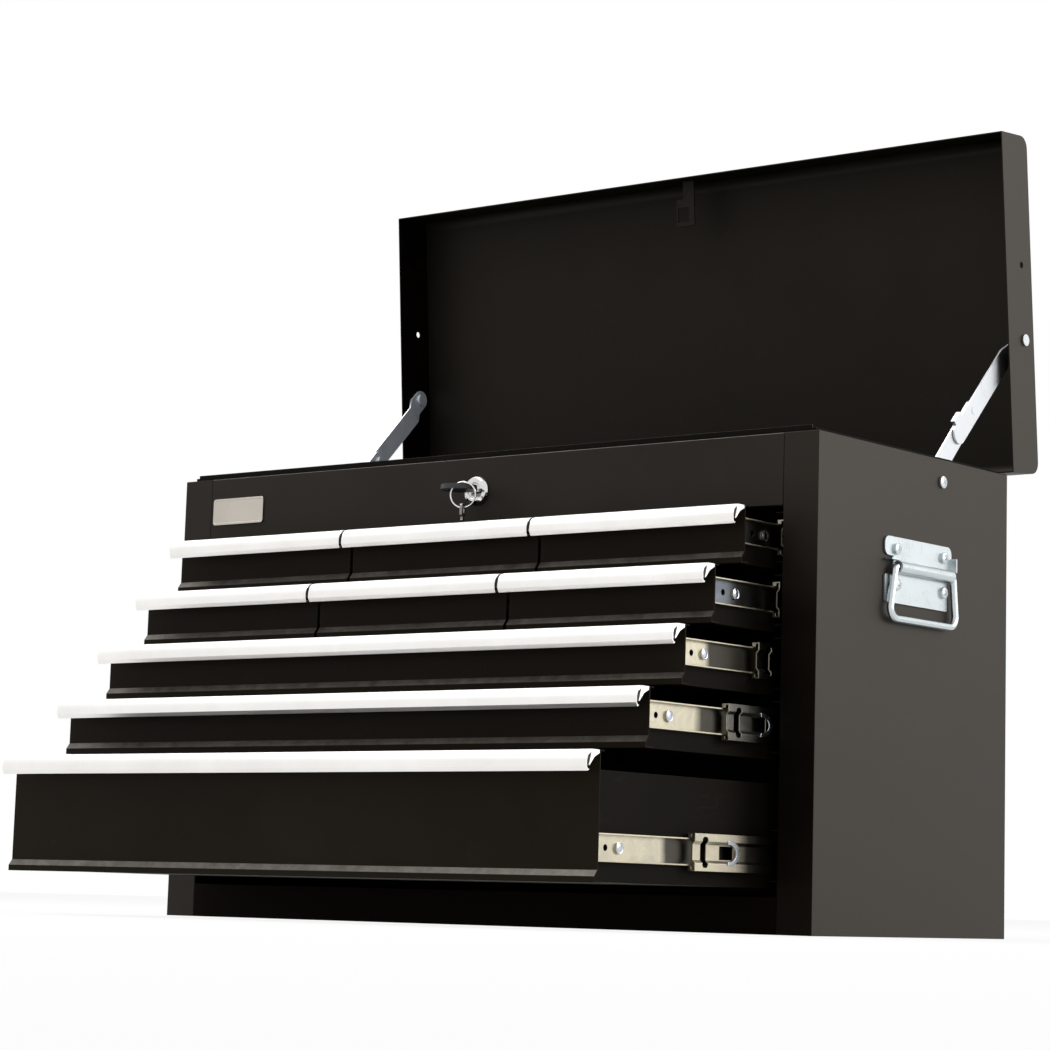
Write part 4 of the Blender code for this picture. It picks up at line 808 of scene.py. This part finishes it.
def drawers(finish):
    """Painted drawers; the plated strips and rivets stand outside their side walls."""
    front_paint, lip, box_paint, flare, strip = range(5)
    for node in sorted(name for name in NODES if name.startswith("drawer_")):
        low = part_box(node)[0]
        left, right = drawer_faces(node)
        row = node.split("_")[1]
        labels = ("drawer", "lip", "box", "flare", f"strip {row}")
        finishes = [finish[label] for label in labels]

        def choose(centre, normal):
            rise = centre.z - low.z
            outside = centre.x < left - SIDE_MARGIN or centre.x > right + SIDE_MARGIN
            if outside and STRIP_LOW < rise < STRIP_HIGH and centre.y > low.y + STRIP_START:
                # The strip's lips and front end keep the bright plating; its web takes the row's plating
                # with its painted shade.
                edge = abs(rise - RIVET_RISE) > STRIP_WEB
                return lip if edge or normal.y < -FACING else strip
            # The box takes the darker box paint, a painted shade.
            if centre.y > low.y + FRONT_ZONE + FLARE_DEPTH:
                return box_paint
            # Up-facing faces of the foot take the lighter flare paint, a painted highlight.
            return flare if normal.z > FLARE_SLOPE and rise < STRIP_LOW else front_paint

        dressed(node, finishes, choose=choose)
        front = low.y + FLARE_DEPTH
        for side, face in ((-1, left), (1, right)):
            place = (face + side * RIVET_PROUD, front + RIVET_BEHIND, low.z + RIVET_RISE)
            hand = "left" if side < 0 else "right"
            sizes = (RIVET_RADIUS, RIVET_DOME)
            dome(f"rivet_{node}_{hand}", finish["clip"], node, place, side, *sizes)


def dome(name, finish, node, place, side, radius, rise, recess=0.0, turn=0.0):
    """Low domed head along X, with a cross recess or the ring that a rivet tool leaves."""
    mesh = bmesh.new()
    x, y, z = place

    def height(share, across, up):
        level = rise * (1 - share**2) ** 0.5 if share < 1 else 0
        if recess:
            crossed = min(abs(across), abs(up)) < SCREW_ARM and share < SCREW_CROSS
            return level - recess if crossed else level
        return level - RIVET_GROOVE if GROOVE_FROM < share < GROOVE_TO else level

    loops = []
    for ring in range(1, DOME_RINGS + 1):
        share = ring / DOME_RINGS
        loop = []
        for step in range(DOME_STEPS):
            angle = 2 * pi * step / DOME_STEPS
            across = radius * share * cos(angle)
            up = radius * share * sin(angle)
            out = height(share, across, up)
            dy = across * cos(turn) - up * sin(turn)
            dz = across * sin(turn) + up * cos(turn)
            loop.append(mesh.verts.new((x + side * out, y + dy, z + dz)))
        loops.append(loop)
    loops.append([mesh.verts.new((x - side * DOME_SINK, v.co.y, v.co.z)) for v in loops[-1]])
    top = mesh.verts.new((x + side * height(0, 0, 0), y, z))
    for step in range(DOME_STEPS):
        after = (step + 1) % DOME_STEPS
        mesh.faces.new((top, loops[0][step], loops[0][after]))
        for inner, outer in zip(loops, loops[1:]):
            mesh.faces.new((inner[step], outer[step], outer[after], inner[after]))
    mesh.faces.new(loops[-1])
    finished(name, mesh, finish, body_of(node))


def screws(finish):
    """Cross-recessed heads on the handle brackets and on the bolts that the stays turn on."""
    for side, hand in ((-1, "left"), (1, "right")):
        low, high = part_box(f"stay_lower_{hand}")
        node = f"handle_bracket_{hand}"
        for number, (y, z, turn) in enumerate(SCREW_PLACES, 1):
            place = (side * SCREW_FACE, y, z)
            sizes = (SCREW_RADIUS, SCREW_RISE, SCREW_RECESS, turn)
            dome(f"screw_{hand}_{number}", finish["handle"], node, place, side, *sizes)
        outer = high.x if side > 0 else low.x
        place = (outer, BOLT_Y, BOLT_Z)
        sizes = (BOLT_RADIUS, SCREW_RISE, SCREW_RECESS, BOLT_TURN)
        dome(f"bolt_{hand}", finish["stay"], f"stay_lower_{hand}", place, side, *sizes)


def extruded(mesh, faces, vector):
    """Gives flat faces a thickness along a vector, as one closed body."""
    grown = bmesh.ops.extrude_face_region(mesh, geom=faces, use_keep_orig=True)
    moved = [item for item in grown["geom"] if isinstance(item, bmesh.types.BMVert)]
    bmesh.ops.translate(mesh, verts=moved, vec=vector)


def spring_clips(finish):
    """C-shaped spring clip round the window of every middle rail."""
    for node in sorted(name for name in NODES if name.startswith("middle_rail")):
        low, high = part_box(node)
        side = 1 if node.endswith("right") else -1
        inner = low.x if side > 0 else high.x
        face = inner + side * CLIP_FACE
        centre_y = low.y + CLIP_BEHIND
        centre_z = (low.z + high.z) / 2
        mesh = bmesh.new()
        pairs = []
        for step in range(CLIP_STEPS + 1):
            angle = -CLIP_HALF_TURN + 2 * CLIP_HALF_TURN * step / CLIP_STEPS
            pair = []
            for reach in (CLIP_INNER, CLIP_OUTER):
                y = centre_y + reach[0] * cos(angle)
                z = centre_z + reach[1] * sin(angle)
                pair.append(mesh.verts.new((face, y, z)))
            pairs.append(pair)
        faces = [mesh.faces.new((a[0], a[1], b[1], b[0])) for a, b in zip(pairs, pairs[1:])]
        extruded(mesh, faces, (side * CLIP_THICK, 0, 0))
        clip = finished(f"clip_{node}", mesh, finish["clip"], body_of(node))
        rounded_edges(clip, EDGE_ROUND)


def spare_key(finish):
    """Flat spare key with a round hole and a notched blade, hanging edge-on from the ring."""
    mesh = bmesh.new()
    along = Vector((cos(SPARE_TURN), sin(SPARE_TURN), 0))
    across = Vector((-along.y, along.x, 0))
    centre = Vector((SPARE_X, SPARE_Y, SPARE_Z)) - along * (SPARE_THICK / 2)
    inner = []
    outer = []
    for step in range(SPARE_STEPS):
        angle = 2 * pi * (step + 0.5) / SPARE_STEPS
        square = abs(cos(angle)) ** SPARE_SQUARE + abs(sin(angle)) ** SPARE_SQUARE
        flat = square ** (1 / SPARE_SQUARE)
        for reach, ring in ((SPARE_HOLE, inner), (SPARE_HEAD / flat, outer)):
            point = centre + across * (reach * cos(angle)) + Vector((0, 0, reach * sin(angle)))
            ring.append(mesh.verts.new(point))
    faces = []
    for step in range(SPARE_STEPS):
        after = (step + 1) % SPARE_STEPS
        faces.append(mesh.faces.new((inner[step], outer[step], outer[after], inner[after])))
    row = sorted(outer, key=lambda vert: vert.co.z)[:SPARE_FOOT]
    row.sort(key=lambda vert: (vert.co - centre).dot(across))
    start = row[0].co.z
    width = [(vert.co - centre).dot(across) for vert in row]
    for drop, share in SPARE_NOTCHES:
        depth = start + (SPARE_END - start) * drop
        fresh = []
        for reach in width:
            point = centre + across * (reach * share * SPARE_BLADE / width[-1])
            fresh.append(mesh.verts.new((point.x, point.y, depth)))
        for first in range(len(row) - 1):
            quad = (row[first], row[first + 1], fresh[first + 1], fresh[first])
            faces.append(mesh.faces.new(quad))
        row = fresh
    extruded(mesh, faces, along * SPARE_THICK)
    key = finished("spare_key", mesh, finish["spare"], "ring")
    rounded_edges(key, EDGE_ROUND / 2)


def name_plate(finish):
    """Plain plate with a raised rim, at the left end of the fascia."""
    mesh = bmesh.new()
    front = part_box("fascia")[0].y
    corners = []
    radius = PLATE_CORNER
    for cx, cz, start in (
        (PLATE_RIGHT - radius, PLATE_HIGH - radius, 0),
        (PLATE_LEFT + radius, PLATE_HIGH - radius, pi / 2),
        (PLATE_LEFT + radius, PLATE_LOW + radius, pi),
        (PLATE_RIGHT - radius, PLATE_LOW + radius, 3 * pi / 2),
    ):
        for step in range(PLATE_STEPS + 1):
            turn = start + pi / 2 * step / PLATE_STEPS
            corners.append((cx + radius * cos(turn), cz + radius * sin(turn)))
    face = mesh.faces.new([mesh.verts.new((x, front, z)) for x, z in corners])
    grown = bmesh.ops.extrude_face_region(mesh, geom=[face])
    moved = [item for item in grown["geom"] if isinstance(item, bmesh.types.BMVert)]
    bmesh.ops.translate(mesh, verts=moved, vec=(0, -PLATE_THICK, 0))
    top = [item for item in grown["geom"] if isinstance(item, bmesh.types.BMFace)]
    bmesh.ops.inset_region(mesh, faces=top, thickness=PLATE_RIM, depth=0)
    bmesh.ops.inset_region(mesh, faces=top, thickness=PLATE_STEP, depth=-PLATE_SUNK)
    obj = finished("name_plate", mesh, finish["plate"], "cabinet")
    rounded_edges(obj, EDGE_ROUND / 2)


def side_face(centre, normal):
    """The outer face of the side panel, or the stile at its front edge."""
    return 1 if normal.y < -FACING else 0


def lid_face(centre, normal):
    """The outside of the right wall, the inside of the left wall, the hinge leaf, or the rest."""
    rest, right_wall, left_wall, leaf = range(4)
    away = (centre.y - HINGE_AXIS[0], centre.z - HINGE_AXIS[1])
    if max(abs(away[0]), abs(away[1])) < HINGE_REACH:
        return leaf
    if normal.x > FACING:
        return right_wall if centre.x > 0 else left_wall
    return rest


def till_face(centre, normal):
    """The lip of the till is like the front; its floor and walls take the darker box paint, a painted
    shade.
    """
    return 0 if centre.z > TILL_LIP else 1


def painted_shell(finish):
    """Cabinet, till and lid."""
    # The side panels take the lighter side paint, a painted light; the right stile takes the stile paint
    # with its painted shade.
    for node, stile in (("side_panel_left", "front"), ("side_panel_right", "stile")):
        dressed(node, [finish["side"], finish[stile]], FOLD_ROUND, choose=side_face)
    dressed("fascia", finish["front"], FASCIA_ROUND)
    # The bottom panel takes the near-black paint, a painted shade.
    dressed("bottom_panel", finish["deep"], FOLD_ROUND)
    dressed("till_tray", [finish["front"], finish["box"]], FOLD_ROUND, choose=till_face)
    dressed("back_panel", finish["front"], EDGE_ROUND)
    # The lid's right wall takes the lighter side paint, a painted light, and the inside of its left wall
    # the near-black paint, a painted shade.
    lid = [finish[label] for label in ("lid", "side", "deep", "hinge")]
    dressed("lid", lid, FOLD_ROUND, choose=lid_face)
    dressed("latch_loop", finish["lid"], EDGE_ROUND)


def inner_steel(finish):
    """Slides, stays, handles, pulls, hinge pin and lock."""
    for node in NODES:
        if node.startswith(("rail_bank", "divider")):
            dressed(node, finish["runner"], EDGE_ROUND)
        elif node.startswith("middle_rail"):
            # The middle rails of rows 1 to 4 take the darker inner rail plating, a painted shade.
            web = "rail" if node.startswith("middle_rail_5") else "inner rail"
            dressed(node, [finish[web], finish["lip"]], EDGE_ROUND, choose=front_end)
        elif node.startswith("stay"):
            # The left stay takes the lighter, rougher copy of the stay plating, a painted light.
            dressed(node, finish["left stay" if node.endswith("left") else "stay"], EDGE_ROUND)
        elif node.startswith("handle_bracket"):
            dressed(node, finish["handle"], EDGE_ROUND)
        elif node.startswith("handle_bail"):
            dressed(node, finish["handle"], EDGE_ROUND, smooth=ROD_ANGLE)
        elif node.startswith("pull"):
            dressed(node, finish["pull"], EDGE_ROUND)
    dressed("hinge_pin", finish["hinge"], EDGE_ROUND)
    dressed("lock_body", finish["chrome"], EDGE_ROUND)
    dressed("key_ring", finish["chrome"], EDGE_ROUND, smooth=ROD_ANGLE)
    dressed("lock_key", [finish["plastic"], finish["chrome"]], EDGE_ROUND, choose=key_part)


def front_end(centre, normal):
    """The cut front end of a rail catches the light."""
    return 1 if normal.y < -FACING else 0


def key_part(centre, normal):
    """The key's moulded head is plastic; its blade, the plug and the cam are metal."""
    return 0 if centre.y < KEY_HEAD_END else 1


finish = all_finishes()
painted_shell(finish)
drawers(finish)
inner_steel(finish)
screws(finish)
spring_clips(finish)
spare_key(finish)
name_plate(finish)
studio()
add_camera()
